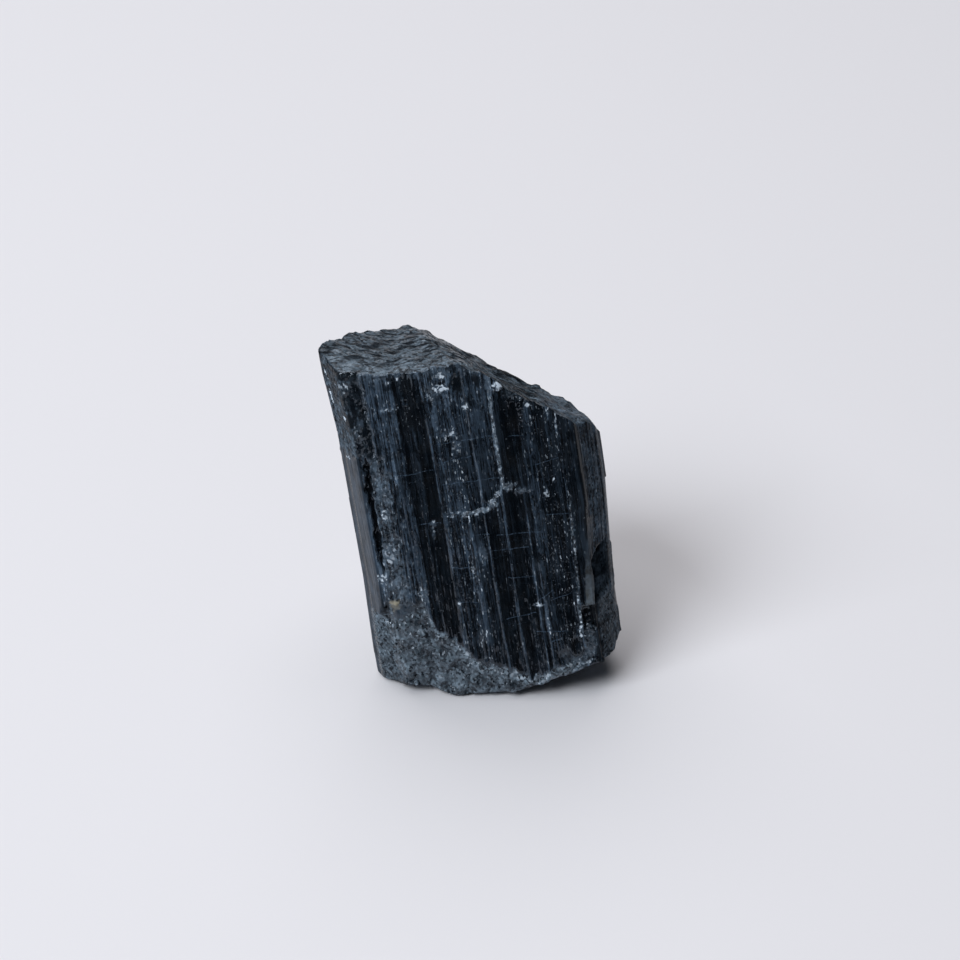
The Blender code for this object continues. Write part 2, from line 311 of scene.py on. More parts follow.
def lay_patches(u, h, front, finish, table):
    """Lay a table of patches over a finish, and return how proud they stand in millimetres.

    A row holds the centre (u, h) and half sizes, then frost, ribs, grain, crumbs, whiteness
    and height over the face.
    """
    proud = 0.0
    for *place, frost, ribbed, grain, speckle, pale, height in table:
        mask = front * spot(u, h, place)
        values = dict(frost=frost, ribbed=ribbed, grain=grain, speckle=speckle, pale=pale)
        cover(finish, mask, values)
        proud = proud + height * mask
    return proud


def lay_rectangles(u, h, front, finish, table):
    """Lay upright rectangles over a finish, and return how deep they cut in millimetres.

    A row holds the left and right edge (u) and how far they fade, the foot and top (h) and how
    far they fade, the depth, and the finish.
    """
    cut = 0.0
    for across, along, depth, values in table:
        mask = front * window(u, *across) * window(h, *along)
        cover(finish, mask, values)
        cut = cut + depth * mask
    return cut


# ---- Ribs of the prism's sides ----
# Growth ribs run the whole length, flat-topped with sharp edges, each turned a little its own
# way. Some kept the bright black growth face, and others lost their skin and are frosted.

FROST_HEIGHTS = (5.0, 20.0, 33.0, 44.0)
# Front ribs from the left: where each starts (u), its frost at the four heights, its turn to the
# right in degrees, how proud it stands, and how crumbed it is.
FRONT_RIBS = (
    (-15.2, (0.55, 0.55, 0.5, 0.45), -4.0, 0.0, 0.1),
    (-13.6, (0.6, 0.75, 0.55, 0.45), -7.0, 0.04, 0.21),
    (-12.3, (0.5, 0.5, 0.45, 0.5), 3.0, 0.1, 0.1),
    (-11.1, (0.45, 0.3, 0.5, 0.55), -5.0, 0.04, 0.07),
    (-10.3, (0.6, 0.5, 0.65, 0.6), 8.0, 0.08, 0.07),
    (-10.0, (0.4, 0.25, 0.3, 0.45), -6.0, 0.02, 0.03),
    (-9.2, (0.35, 0.35, 0.4, 0.5), 4.0, 0.06, 0.07),
    (-8.5, (0.12, 0.06, 0.1, 0.15), 4.0, -0.1, 0.0),
    (-7.6, (0.08, 0.1, 0.14, 0.2), -6.0, -0.06, 0.03),
    (-6.6, (0.05, 0.04, 0.06, 0.1), -3.0, -0.16, 0.0),
    (-4.9, (0.45, 0.5, 0.6, 0.95), -20.0, -0.02, 0.07),
    (-4.6, (0.24, 0.38, 0.34, 0.75), -4.0, 0.12, 0.17),
    (-3.2, (0.18, 0.3, 0.26, 0.7), 6.0, 0.08, 0.14),
    (-2.5, (0.26, 0.46, 0.2, 0.58), -5.0, 0.1, 0.32),
    (-1.0, (0.15, 0.15, 0.22, 0.45), 5.0, 0.0, 0.07),
    (0.8, (0.4, 0.55, 0.35, 0.55), -10.0, 0.04, 0.07),
    (1.1, (0.06, 0.05, 0.2, 0.5), 3.0, -0.08, 0.0),
    (2.4, (0.1, 0.1, 0.26, 0.52), -4.0, -0.12, 0.07),
    (3.4, (0.28, 0.4, 0.32, 0.55), -12.0, 0.0, 0.07),
    (3.8, (0.05, 0.05, 0.1, 0.2), 4.0, -0.08, 0.0),
    (5.3, (0.08, 0.08, 0.05, 0.05), -4.0, -0.06, 0.03),
    (6.5, (0.45, 0.45, 0.1, 0.08), -14.0, 0.04, 0.07),
    (6.8, (0.15, 0.15, 0.05, 0.05), 5.0, 0.0, 0.0),
    (7.4, (0.28, 0.42, 0.15, 0.12), -5.0, 0.12, 0.1),
    (8.2, (0.2, 0.36, 0.3, 0.38), 4.0, 0.12, 0.07),
    (9.0, (0.14, 0.12, 0.26, 0.3), 7.0, 0.02, 0.21),
    (9.8, (0.08, 0.08, 0.08, 0.08), -6.0, 0.06, 0.24),
    (10.8, (0.1, 0.1, 0.2, 0.18), 6.0, 0.0, 0.24),
    (11.7, (0.1, 0.12, 0.12, 0.1), -6.0, 0.04, 0.14),
    (12.3, (0.5, 0.42, 0.25, 0.2), -15.0, 0.1, 0.17),
    (12.7, (0.1, 0.1, 0.12, 0.12), 8.0, 0.06, 0.03),
    (13.7, (0.14, 0.14, 0.16, 0.15), -3.0, 0.0, 0.03),
)
RIB_SEED = 61
# Ribs of the other sides: their width, and how their frost, turn, height and crumbs scatter.
RIB_WIDTH = 0.0011
RIB_WIDTH_SCATTER = 0.5
NARROWEST_RIB = 0.3
SIDE_FROST, SIDE_FROST_SHAPE = 0.7, (1.1, 2.0)
SIDE_FROST_CHANGE, SIDE_FROST_LEAST = 0.08, 0.03
SIDE_TURN, SIDE_LIFT, SIDE_CRUMBS = 7.0, 0.00010, 0.15
RIB_WAVE = (0.00006, 0.012, 61)
# Fine ribs: width, height, wave, and the runs between their steps.
FINE_RIB_WIDTH = 0.00032
FINE_RIB_HEIGHT = 0.000035
FINE_RIB_WAVE = (0.00004, 0.007, 63)
RUN, RUN_SCATTER, RUN_SHIFT = 0.0035, 0.009, 7.0
RUN_KEY = (173, 47)


def rib_edges(start, end, width, rng):
    """Rib edges from start to end, with widths scattered about the given one."""
    more_than_enough = int(3.0 * (end - start) / width) + 4
    widths = width * rng.lognormal(0.0, RIB_WIDTH_SCATTER, more_than_enough)
    edges = start + np.concatenate(([0.0], np.cumsum(widths)))
    return edges[edges < end - NARROWEST_RIB * width]


def broad_ribs(arc, place, h, finish):
    """Height of the broad ribs, each flat, turned and lifted on its own; sets their finish.

    The front has its own list of ribs, and the other sides have random ones. Frost runs in
    straight pieces between the four heights.
    """
    rng = np.random.default_rng(RIB_SEED)
    front_columns = round(math.dist(SIDES[0][:2], SIDES[1][:2]) / SIDES[0][3])
    starts, front_frost, turns, lifts, crumbs = (np.array(row) for row in zip(*FRONT_RIBS))
    front_edges = np.interp(starts * MM, place[0][:front_columns], arc[:front_columns])
    side_edges = rib_edges(arc[front_columns], arc[-1], RIB_WIDTH, rng)
    count = len(side_edges)
    side_frost = rng.beta(*SIDE_FROST_SHAPE, (count, 1)) * SIDE_FROST
    side_frost = side_frost + rng.normal(0.0, SIDE_FROST_CHANGE, (count, len(FROST_HEIGHTS)))
    edges = np.concatenate((front_edges, side_edges))
    frost = np.concatenate((front_frost, np.clip(side_frost, SIDE_FROST_LEAST, 1.0)))
    turn = np.radians(np.concatenate((turns, rng.normal(0.0, SIDE_TURN, count))))
    lift = np.concatenate((lifts * MM, rng.normal(0.0, SIDE_LIFT, count)))
    crumbed = np.concatenate((crumbs, rng.uniform(0.0, SIDE_CRUMBS, count)))

    wander = wavering(arc, h, RIB_WAVE)
    rib = np.clip(np.searchsorted(edges, arc + wander, side="right") - 1, 0, len(edges) - 1)
    across = arc + wander - edges[rib] - 0.5 * np.diff(np.append(edges, arc[-1]))[rib]
    stage = np.interp(h, np.array(FROST_HEIGHTS) * MM, np.arange(len(FROST_HEIGHTS)))
    below = np.minimum(stage.astype(int), len(FROST_HEIGHTS) - 2)
    finish["frost"] = between((frost[rib, below], frost[rib, below + 1]), stage - below)
    finish["speckle"] = crumbed[rib]
    finish["ribbed"] = np.ones_like(h)
    return lift[rib] - np.tan(turn)[rib] * across


def fine_ribs(arc, h):
    """Height and shade of the fine ribs: each has its own level, which changes at small steps."""
    rng = np.random.default_rng(RIB_SEED + 1)
    edges = rib_edges(0.0, arc.max(), FINE_RIB_WIDTH, rng)
    wander = wavering(arc, h, FINE_RIB_WAVE)
    rib = np.clip(np.searchsorted(edges, arc + wander, side="right") - 1, 0, len(edges) - 1)
    table = rng.uniform(-1.0, 1.0, (3, CELL_TABLE))
    run = RUN + RUN_SCATTER * np.abs(table[0, rib % CELL_TABLE])
    cell = np.floor(h / run + RUN_SHIFT * table[1, rib % CELL_TABLE]).astype(int)
    key = (rib * RUN_KEY[0] + cell * RUN_KEY[1]) % CELL_TABLE
    slope = (arc + wander - edges[rib]) / FINE_RIB_WIDTH - 0.5
    height = FINE_RIB_HEIGHT * (table[2, key] + table[0, key] * slope)
    return height, table[1, key]


# ---- The flaked sheet ----
# A sheet 0.6 mm thick split off the upper middle of the front. It left a thin frosted wall down
# its right side and a crumbled ledge that curves away to the left at its foot.

# Its right edge as (h, u), and its foot as (u, h).
FLAKE_RIGHT = ((28.0, 4.1), (36.0, 4.1), (41.0, 4.3), (44.0, 4.5))
FLAKE_FOOT = (
    (-4.6, 25.2), (-2.6, 24.6), (0.0, 24.6), (1.3, 24.7), (1.8, 25.2), (2.9, 26.3), (4.1, 27.8),
)
FLAKE_RIGHT_WAVE, FLAKE_FOOT_WAVE = (0.07, 1.6, 71), (0.12, 1.3, 72)
# Where its depth begins and is full: inward from its edge, and at its left end (u).
FLAKE_EDGE, FLAKE_LEFT = (-0.1, 0.3), (-4.7, -4.4)
FLAKE_DEPTH = 0.6
# The wall: how far inward its middle lies, its half width and solid core, its fade at the left.
WALL_INWARD, WALL_HALF, WALL_CORE = 0.1, 0.3, 0.1
WALL_WAVE, WALL_LEFT = (0.05, 0.9, 73), (-3.4, -0.8)
# The wall is frosted, and painted paler still as a highlight.
WALL_FROST_AND_HIGHLIGHT = dict(frost=1.0, ribbed=0.2, grain=0.7, speckle=0.3, pale=0.20)
# Patches, here and below: rows as lay_patches takes them.
# Its ledge is crumbled, and painted paler as a highlight where it faces up.
FLAKE_PATCHES = (
    (4.7, 27.7, 0.75, 0.5, 0.75, 0.1, 0.6, 0.5, 0.1, 0.0),
    (4.2, 42.6, 0.45, 1.6, 0.8, 0.4, 0.2, 0.3, 0.05, 0.0),
    (2.2, 25.5, 0.7, 0.5, 0.85, 0.1, 0.5, 0.6, 0.12, 0.05),
)


def flake(u, h, front, finish):
    """Depth of the flaked sheet at (u, h) in millimetres; frosts the wall round it."""
    right = np.interp(h, *np.array(FLAKE_RIGHT).T) + wavering(u, h, FLAKE_RIGHT_WAVE)
    foot = np.interp(u, *np.array(FLAKE_FOOT).T) + wavering(u, h, FLAKE_FOOT_WAVE)
    inward = np.minimum(right - u, h - foot)
    inside = front * np.minimum(ramp(inward, *FLAKE_EDGE), ramp(u, *FLAKE_LEFT))
    off_wall = np.abs(inward - WALL_INWARD) - wavering(u, h, WALL_WAVE)
    wall = ramp(off_wall, WALL_HALF, WALL_CORE) * ramp(u, *WALL_LEFT)
    cover(finish, front * wall, WALL_FROST_AND_HIGHLIGHT)
    return FLAKE_DEPTH * inside - lay_patches(u, h, front, finish, FLAKE_PATCHES)


# ---- The granular break ----
# The lower left of the front broke to coarse grains instead of along ribs, and its plane turns
# back round the left corner. A speck of cream mineral sits on its upper edge.

# Its upper edge (u, h).
GRANULAR_EDGE = (
    (-16.0, 11.5), (-14.6, 13.2), (-13.0, 13.2), (-9.4, 12.4), (-8.3, 8.8), (-5.5, 6.2),
    (-3.5, 3.3), (-0.3, 1.8), (4.0, -0.6), (12.0, 1.0),
)
GRANULAR_WAVE = (0.3, 1.5, 81)
# Where it begins and is full: below its upper edge, and at its left and right ends (u).
GRANULAR_START, GRANULAR_LEFT, GRANULAR_RIGHT = (-0.15, 0.25), (-17.4, -16.9), (12.5, 10.0)
# Its depth: at the edge, added to a millimetre below it, and added round the left corner.
GRANULAR_STEP = 0.6
GRANULAR_SLOPE = 0.085
GRANULAR_TURN_FROM = -13.3
GRANULAR_TURN = 0.95
GRANULAR_RELIEF = 0.5
GRANULAR_SEED = 51
# Grains of a break: facet size and height.
HACKLE = ((1.7, 0.20), (0.6, 0.11))
# Facets lie in paler and darker clumps.
PALE_CLUMPS, CLUMPS = 0.3143, (0.5, 4.0, 56)
GRANULAR = dict(frost=(0.18, 0.88), ribbed=0.0, grain=0.9, speckle=0.12)
# The brow just under its upper edge: its band below the edge, and where it fades at the left.
BROW_BAND, BROW_LEFT = (0.0, 1.4, 0.7), (-10.5, -8.5)
# The brow is painted paler and glittering, as a highlight along the edge.
BROW_HIGHLIGHT = dict(frost=1.0, speckle=0.6, pale=0.12)
CREAM_SPECK = dict(grain=0.5, frost=0.6, ribbed=0.0)
# Cream specks: centre (u, h), half sizes, and how much of the cream shows.
CREAM_SPECKS = ((-13.4, 12.7, 0.60, 0.55, 0.30), (-13.5, 13.2, 0.65, 0.24, 0.90))
GRANULAR_PATCHES = (
    (-14.9, 6.8, 0.55, 0.25, 0.05, 0.0, 0.2, 0.0, 0.0, -0.35),
    (-13.4, 6.0, 0.2, 0.2, 0.05, 0.0, 0.2, 0.0, 0.0, -0.3),
    (-14.6, 10.6, 0.12, 1.4, 0.08, 0.0, 0.2, 0.0, 0.0, -0.25),
    (-13.2, 11.5, 0.8, 0.8, 0.3, 0.0, 0.2, 0.0, 0.0, -0.05),
    (-12.0, 12.1, 1.1, 0.6, 0.4, 0.0, 0.2, 0.0, 0.0, 0.0),
    (-15.6, 10.0, 0.3, 0.2, 0.8, 0.0, 0.5, 0.5, 0.5, 0.05),
    (-12.0, 8.2, 0.2, 0.2, 0.8, 0.0, 0.5, 0.3, 0.4, 0.05),
    (-9.2, 4.7, 0.35, 0.2, 0.8, 0.0, 0.5, 0.3, 0.4, 0.05),
)


def hackle(u, h, seed):
    """Grains of a break in millimetres: large facets with small ones on them, and a shade."""
    height = shade = 0.0
    for number, (size, rise) in enumerate(HACKLE):
        facet, facet_shade = facets(u, h, size, seed + number)
        height = height + rise * facet
        shade = shade + facet_shade / len(HACKLE)
    return height, shade


def granular_break(u, v, h, front, finish):
    """Depth of the granular break in millimetres, measured from the side it cuts."""
    below = np.interp(u, *np.array(GRANULAR_EDGE).T) + wavering(u, h, GRANULAR_WAVE) - h
    broken = front * ramp(below, *GRANULAR_START)
    broken *= ramp(u, *GRANULAR_LEFT) * ramp(u, *GRANULAR_RIGHT)
    grains, shade = hackle(u, h, GRANULAR_SEED + 3)
    cut = GRANULAR_STEP + GRANULAR_SLOPE * np.clip(below, 0.0, None) + grains
    cut += GRANULAR_TURN * np.clip(GRANULAR_TURN_FROM - u, 0.0, None)
    cut += GRANULAR_RELIEF * relief(u * MM, h * MM, GRANULAR_SEED) / MM
    cut -= v - FRONT_V / MM
    cover(finish, broken, GRANULAR, shade + PALE_CLUMPS * (0.5 + wavering(u, h, CLUMPS)))
    cover(finish, broken * window(below, *BROW_BAND) * ramp(u, *BROW_LEFT), BROW_HIGHLIGHT)
    cut = cut - lay_patches(u, h, broken, finish, GRANULAR_PATCHES)
    for *place, cream in CREAM_SPECKS:
        cover(finish, front * spot(u, h, place), dict(cream=cream, **CREAM_SPECK))
    return broken * np.clip(cut, 0.0, None)


# ---- The left edge ----
# Above, the corner is pitted and rough. Below it a smooth grey cleavage runs down the flank,
# with a long dark splinter groove and a frosted, crumbled strip beside it.

# The groove: height, its middle (u) and its half width.
GROOVE = (
    (18.3, -14.25, 0.1), (20.5, -14.3, 0.25), (22.7, -14.25, 0.42), (25.7, -14.2, 0.3),
    (28.6, -14.3, 0.42), (31.5, -14.15, 0.3), (34.2, -14.05, 0.2),
)
GROOVE_WAVE, GROOVE_SOFT, GROOVE_SPAN = (0.15, 1.5, 79), 0.12, (18.0, 34.4, 0.4)
GROOVE_DEPTH = 0.8
# The groove is painted black, as the shade inside it.
GROOVE_PAINTED_SHADE = dict(frost=0.02, ribbed=0.5, grain=0.1, speckle=0.0)
LEFT_WAVE, LEFT_GRAIN_SEED = (0.3, 2.4, 78), 77
# Bands are given by their low and high end and how far they fade, fades by start and full.
SIDE_ON, SMOOTH_TOP = (-14.9, -15.1), (34.8, 34.2)
SMOOTH = dict(frost=0.42, dull=0.55, ribbed=0.3, speckle=0.0)
SEAM_BAND = (-17.12, -16.92, 0.12)
SEAM = dict(frost=0.05, dull=0.0)
STRIP_BAND, STRIP_SPAN = (-13.9, -11.5, 0.3), (13.4, 34.3, 0.5)
STRIP_DEPTH, STRIP_GRAINS = 0.08, 0.4
STRIP = dict(frost=(0.10, 1.05), ribbed=0.6, grain=0.4, speckle=0.15)
PITTED_FOOT, PITTED_RIGHT = (34.3, 35.1), (-12.3, -12.7)
PITTED_DEPTH, PITTED_GRAINS = 0.20, 1.2
PITTED = dict(frost=(0.04, 0.64), ribbed=0.25, grain=0.55, speckle=0.06)
PITTED_SIDE = dict(frost=(0.0, 1.0), dull=0.85, grain=0.6)
PITTED_SIDE_SHADES = (0.20, 0.90)
# A block stands proud of the pitted corner: its middle (u), its half width and top, its height.
BLOCK_MIDDLE, BLOCK_EDGE, BLOCK_HEIGHT = -15.5, (2.6, 0.5), 1.5
# Rectangles, here and below: rows as lay_rectangles takes them. A slab, and its frosted end.
# The slab's frosted end is also painted pale, as a highlight on its top edge.
LEFT_RECTANGLES = (
    ((-10.9, -8.7, 0.15), (36.2, 41.0, 0.2), -0.25, dict(frost=0.55)),
    ((-10.7, -8.3, 0.1), (40.9, 41.1, 0.15), 0.0, dict(frost=1.0, grain=0.3, pale=0.18)),
)
LEFT_PATCHES = (
    (-15.2, 40.2, 0.8, 1.1, 0.08, 0.0, 0.2, 0.0, 0.0, -0.35),
    (-14.2, 41.6, 0.45, 1.2, 0.06, 0.2, 0.1, 0.0, 0.0, -0.25),
    (-13.7, 39.6, 0.5, 0.5, 0.75, 0.0, 0.1, 0.0, 0.1, 0.15),
    (-12.9, 43.9, 0.3, 0.9, 0.1, 0.5, 0.1, 0.0, 0.0, -0.1),
    (-15.8, 40.3, 0.2, 0.2, 0.8, 0.0, 0.2, 0.0, 0.6, 0.08),
    (-14.6, 38.2, 0.22, 0.6, 0.6, 0.0, 0.4, 0.8, 0.2, 0.05),
    (-15.0, 45.0, 0.7, 0.45, 0.55, 0.0, 0.4, 0.8, 0.2, 0.0),
    (-17.2, 46.2, 0.09, 0.6, 0.7, 0.0, 0.0, 0.0, 0.5, 0.06),
    (-17.2, 42.9, 0.1, 0.8, 0.7, 0.0, 0.0, 0.0, 0.6, 0.06),
    (-16.6, 34.2, 0.3, 0.2, 0.7, 0.0, 0.0, 0.0, 0.5, 0.05),
    (-12.8, 26.1, 0.4, 0.6, 0.8, 0.2, 0.3, 0.9, 0.28, 0.05),
    (-13.0, 20.2, 0.9, 1.6, 0.95, 0.1, 0.4, 0.6, 0.16, 0.1),
    (-12.6, 15.6, 1.3, 1.4, 0.9, 0.2, 0.4, 0.5, 0.08, 0.05),
    (-14.6, 16.9, 0.55, 0.7, 0.85, 0.0, 0.3, 0.9, 0.34, 0.06),
    (-9.3, 14.0, 0.6, 1.1, 0.8, 0.3, 0.3, 0.9, 0.12, 0.05),
)


def left_edge(u, h, front, finish):
    """Depth of the forms along the left edge in millimetres."""
    ragged = wavering(u, h, LEFT_WAVE)
    grains, shade = hackle(u, h, LEFT_GRAIN_SEED)
    side_on = ramp(u, *SIDE_ON)
    smooth = side_on * ramp(h, *SMOOTH_TOP)
    cover(finish, smooth, SMOOTH)
    cover(finish, smooth * window(u, *SEAM_BAND), SEAM)

    strip = front * window(u + ragged, *STRIP_BAND) * window(h, *STRIP_SPAN)
    cover(finish, strip, STRIP, shade)
    above = ramp(h + ragged, *PITTED_FOOT)
    pitted = above * ramp(u + 0.5 * ragged, *PITTED_RIGHT)
    cover(finish, pitted, PITTED, shade ** 2)
    cover(finish, pitted * side_on, PITTED_SIDE, ramp(shade, *PITTED_SIDE_SHADES))

    groove_h, groove_u, groove_half = np.array(GROOVE).T
    aside = np.abs(u + wavering(u, h, GROOVE_WAVE) - np.interp(h, groove_h, groove_u))
    groove = ramp(np.interp(h, groove_h, groove_half) - aside, -GROOVE_SOFT, GROOVE_SOFT)
    groove = front * groove * window(h, *GROOVE_SPAN)
    cover(finish, groove, GROOVE_PAINTED_SHADE)

    cut = strip * (STRIP_DEPTH + STRIP_GRAINS * grains) + GROOVE_DEPTH * groove
    cut += pitted * (PITTED_DEPTH + PITTED_GRAINS * grains)
    cut += lay_rectangles(u, h, front, finish, LEFT_RECTANGLES)
    proud = lay_patches(u, h, np.clip(front + pitted, 0.0, 1.0), finish, LEFT_PATCHES)
    proud = proud + BLOCK_HEIGHT * above * ramp(np.abs(u - BLOCK_MIDDLE), *BLOCK_EDGE)
    return cut - proud


# ---- The right edge ----
# Blocks broke out of the lower right: a square notch, a recess on the flank, a smooth pale
# tongue between them, a rounded knob at the foot and shell-shaped chips along the base.

RIGHT_GRAIN_SEED = 91
SOFT_WAVE = (0.20, 3.2, 94)
FLANK_LEFT = (15.0, 15.6)
FLANK = dict(frost=(0.60, 1.00), dull=0.75, ribbed=0.7, grain=0.3, speckle=0.05)
CORNER_BAND, CORNER = (14.3, 15.3, 0.3), dict(dull=0.7)
# The tongue: height, and its left and right edge (u).
TONGUE = (
    (8.6, 13.6, 14.9), (11.0, 13.7, 15.0), (15.4, 14.1, 14.8), (18.0, 14.6, 15.5),
    (21.0, 14.9, 15.8),
)
TONGUE_LEFT_WAVE, TONGUE_RIGHT_WAVE = (0.04, 1.7, 92), (0.04, 1.9, 93)
TONGUE_EDGE, TONGUE_SPAN, TONGUE_HEIGHT = (-0.1, 0.1), (8.6, 21.0, 0.3), 0.08
# It is paler toward its foot, where cream is painted over it as a sheen.
FOOTWARD = (17.0, 9.0)
TONGUE_FINISH_AND_SHEEN = dict(
    frost=(0.40, 0.80), cream=(0.0, 0.14), dull=0.6, ribbed=0.1, grain=0.2, speckle=0.0
)
# The recess fades in from the tongue and out to the right, and its foot and top slant. It is
# painted dark beside the tongue, as shade, and lighter away from it.
RECESS_LEFT, RECESS_RIGHT, RECESS_OUT = (0.0, 0.2), 15.9, 18.2
RECESS_SPAN, RECESS_SLANT, RECESS_DEPTH = (9.0, 15.4, 0.3), 0.6, 0.7
RECESS_PAINTED_LIGHT, RECESS_GRAIN = (0.5, 1.1), dict(grain=(0.0, 0.4))
RECESS_PAINTED_SHADE = dict(frost=(0.02, 0.62), dull=1.0, ribbed=0.2, speckle=0.0)
# The notch, and the gap between it and the knob; the gap is painted near black as its shade.
RIGHT_RECTANGLES = (
    ((12.9, 14.7, 0.3), (5.4, 8.1, 0.4), 0.9, dict(frost=0.08, ribbed=0.8, speckle=0.0)),
    ((14.8, 15.2, 0.2), (0.5, 8.0, 0.4), 0.35, dict(frost=0.04, ribbed=0.1, grain=0.1)),
)
KNOB_LEFT, KNOB_TOP = (14.9, 15.4), (8.8, 8.0)
KNOB_DEPTH, KNOB_GRAINS = 0.25, 0.5
KNOB = dict(frost=(0.25, 1.00), dull=0.8, ribbed=0.0, grain=0.8, speckle=0.1)
# The shell-shaped chips: their centre, the ring they fill, their depth and their arcs.
SHELL_CENTRE, SHELL_INNER = (11.2, 2.3), (0.9, 1.1)
SHELL_OUTER, SHELL_TOP = (2.9, 2.5), (2.6, 2.0)
SHELL_DEPTH, ARC_DEPTH, ARC_SPACING = 0.4, 0.04, 0.55
SHELL = dict(frost=(0.55, 0.75), ribbed=0.0, grain=0.3, speckle=0.05, pale=0.03)
RIGHT_PATCHES = (
    (11.3, 3.7, 0.35, 0.7, 0.03, 0.9, 0.0, 0.0, 0.0, -0.1),
    (13.4, 3.4, 0.75, 2.3, 0.42, 0.1, 0.6, 0.1, 0.0, 0.35),
    (12.2, 4.9, 0.35, 0.8, 0.85, 0.1, 0.3, 0.9, 0.35, 0.1),
    (16.6, 18.5, 0.3, 2.2, 0.75, 0.2, 0.0, 0.0, 0.06, 0.05),
    (16.4, 15.8, 0.5, 0.6, 0.03, 0.1, 0.0, 0.0, 0.0, -0.3),
    (12.7, 17.0, 0.18, 7.0, 0.55, 0.6, 0.6, 1.0, 0.14, 0.05),
    (12.4, 8.0, 0.2, 2.5, 0.6, 0.5, 0.7, 1.0, 0.18, 0.05),
)


def right_edge(u, h, front, finish):
    """Depth of the forms along the right edge in millimetres."""
    soft = wavering(u, h, SOFT_WAVE)
    grains, shade = hackle(u, h, RIGHT_GRAIN_SEED)
    flank = front * ramp(u, *FLANK_LEFT)
    cover(finish, flank, FLANK, shade)
    cover(finish, front * window(u, *CORNER_BAND), CORNER)

    knob = front * ramp(u, *KNOB_LEFT) * ramp(h, *KNOB_TOP)
    cover(finish, knob, KNOB, shade)
    tongue_h, tongue_left, tongue_right = np.array(TONGUE).T
    left = np.interp(h, tongue_h, tongue_left) + wavering(u, h, TONGUE_LEFT_WAVE)
    right = np.interp(h, tongue_h, tongue_right) + wavering(u, h, TONGUE_RIGHT_WAVE)
    tongue = np.minimum(ramp(u - left, *TONGUE_EDGE), ramp(right - u, *TONGUE_EDGE))
    tongue = front * tongue * window(h, *TONGUE_SPAN)
    cover(finish, tongue, TONGUE_FINISH_AND_SHEEN, ramp(h, *FOOTWARD))
    finish["frost"] += soft * tongue

    recess = front * ramp(u - right, *RECESS_LEFT)
    recess *= window(h - RECESS_SLANT * (u - RECESS_RIGHT), *RECESS_SPAN)
    lit = ramp(u - right + soft, *RECESS_PAINTED_LIGHT)
    cover(finish, recess, RECESS_PAINTED_SHADE, lit * shade)
    cover(finish, recess, RECESS_GRAIN, lit)
    notch_and_gap = lay_rectangles(u, h, front, finish, RIGHT_RECTANGLES)

    away = np.hypot(u - SHELL_CENTRE[0], h - SHELL_CENTRE[1])
    shell = front * ramp(away, *SHELL_INNER) * ramp(away, *SHELL_OUTER) * ramp(h, *SHELL_TOP)
    cover(finish, shell, SHELL, shade)
    arcs = ARC_DEPTH * np.sin(away * 2.0 * math.pi / ARC_SPACING)

    proud = TONGUE_HEIGHT * tongue + lay_patches(u, h, front, finish, RIGHT_PATCHES)
    cut = knob * (KNOB_DEPTH + soft + KNOB_GRAINS * grains) + shell * (SHELL_DEPTH + arcs)
    cut += RECESS_DEPTH * recess * ramp(u, RECESS_OUT, RECESS_RIGHT)
    return cut + notch_and_gap - proud
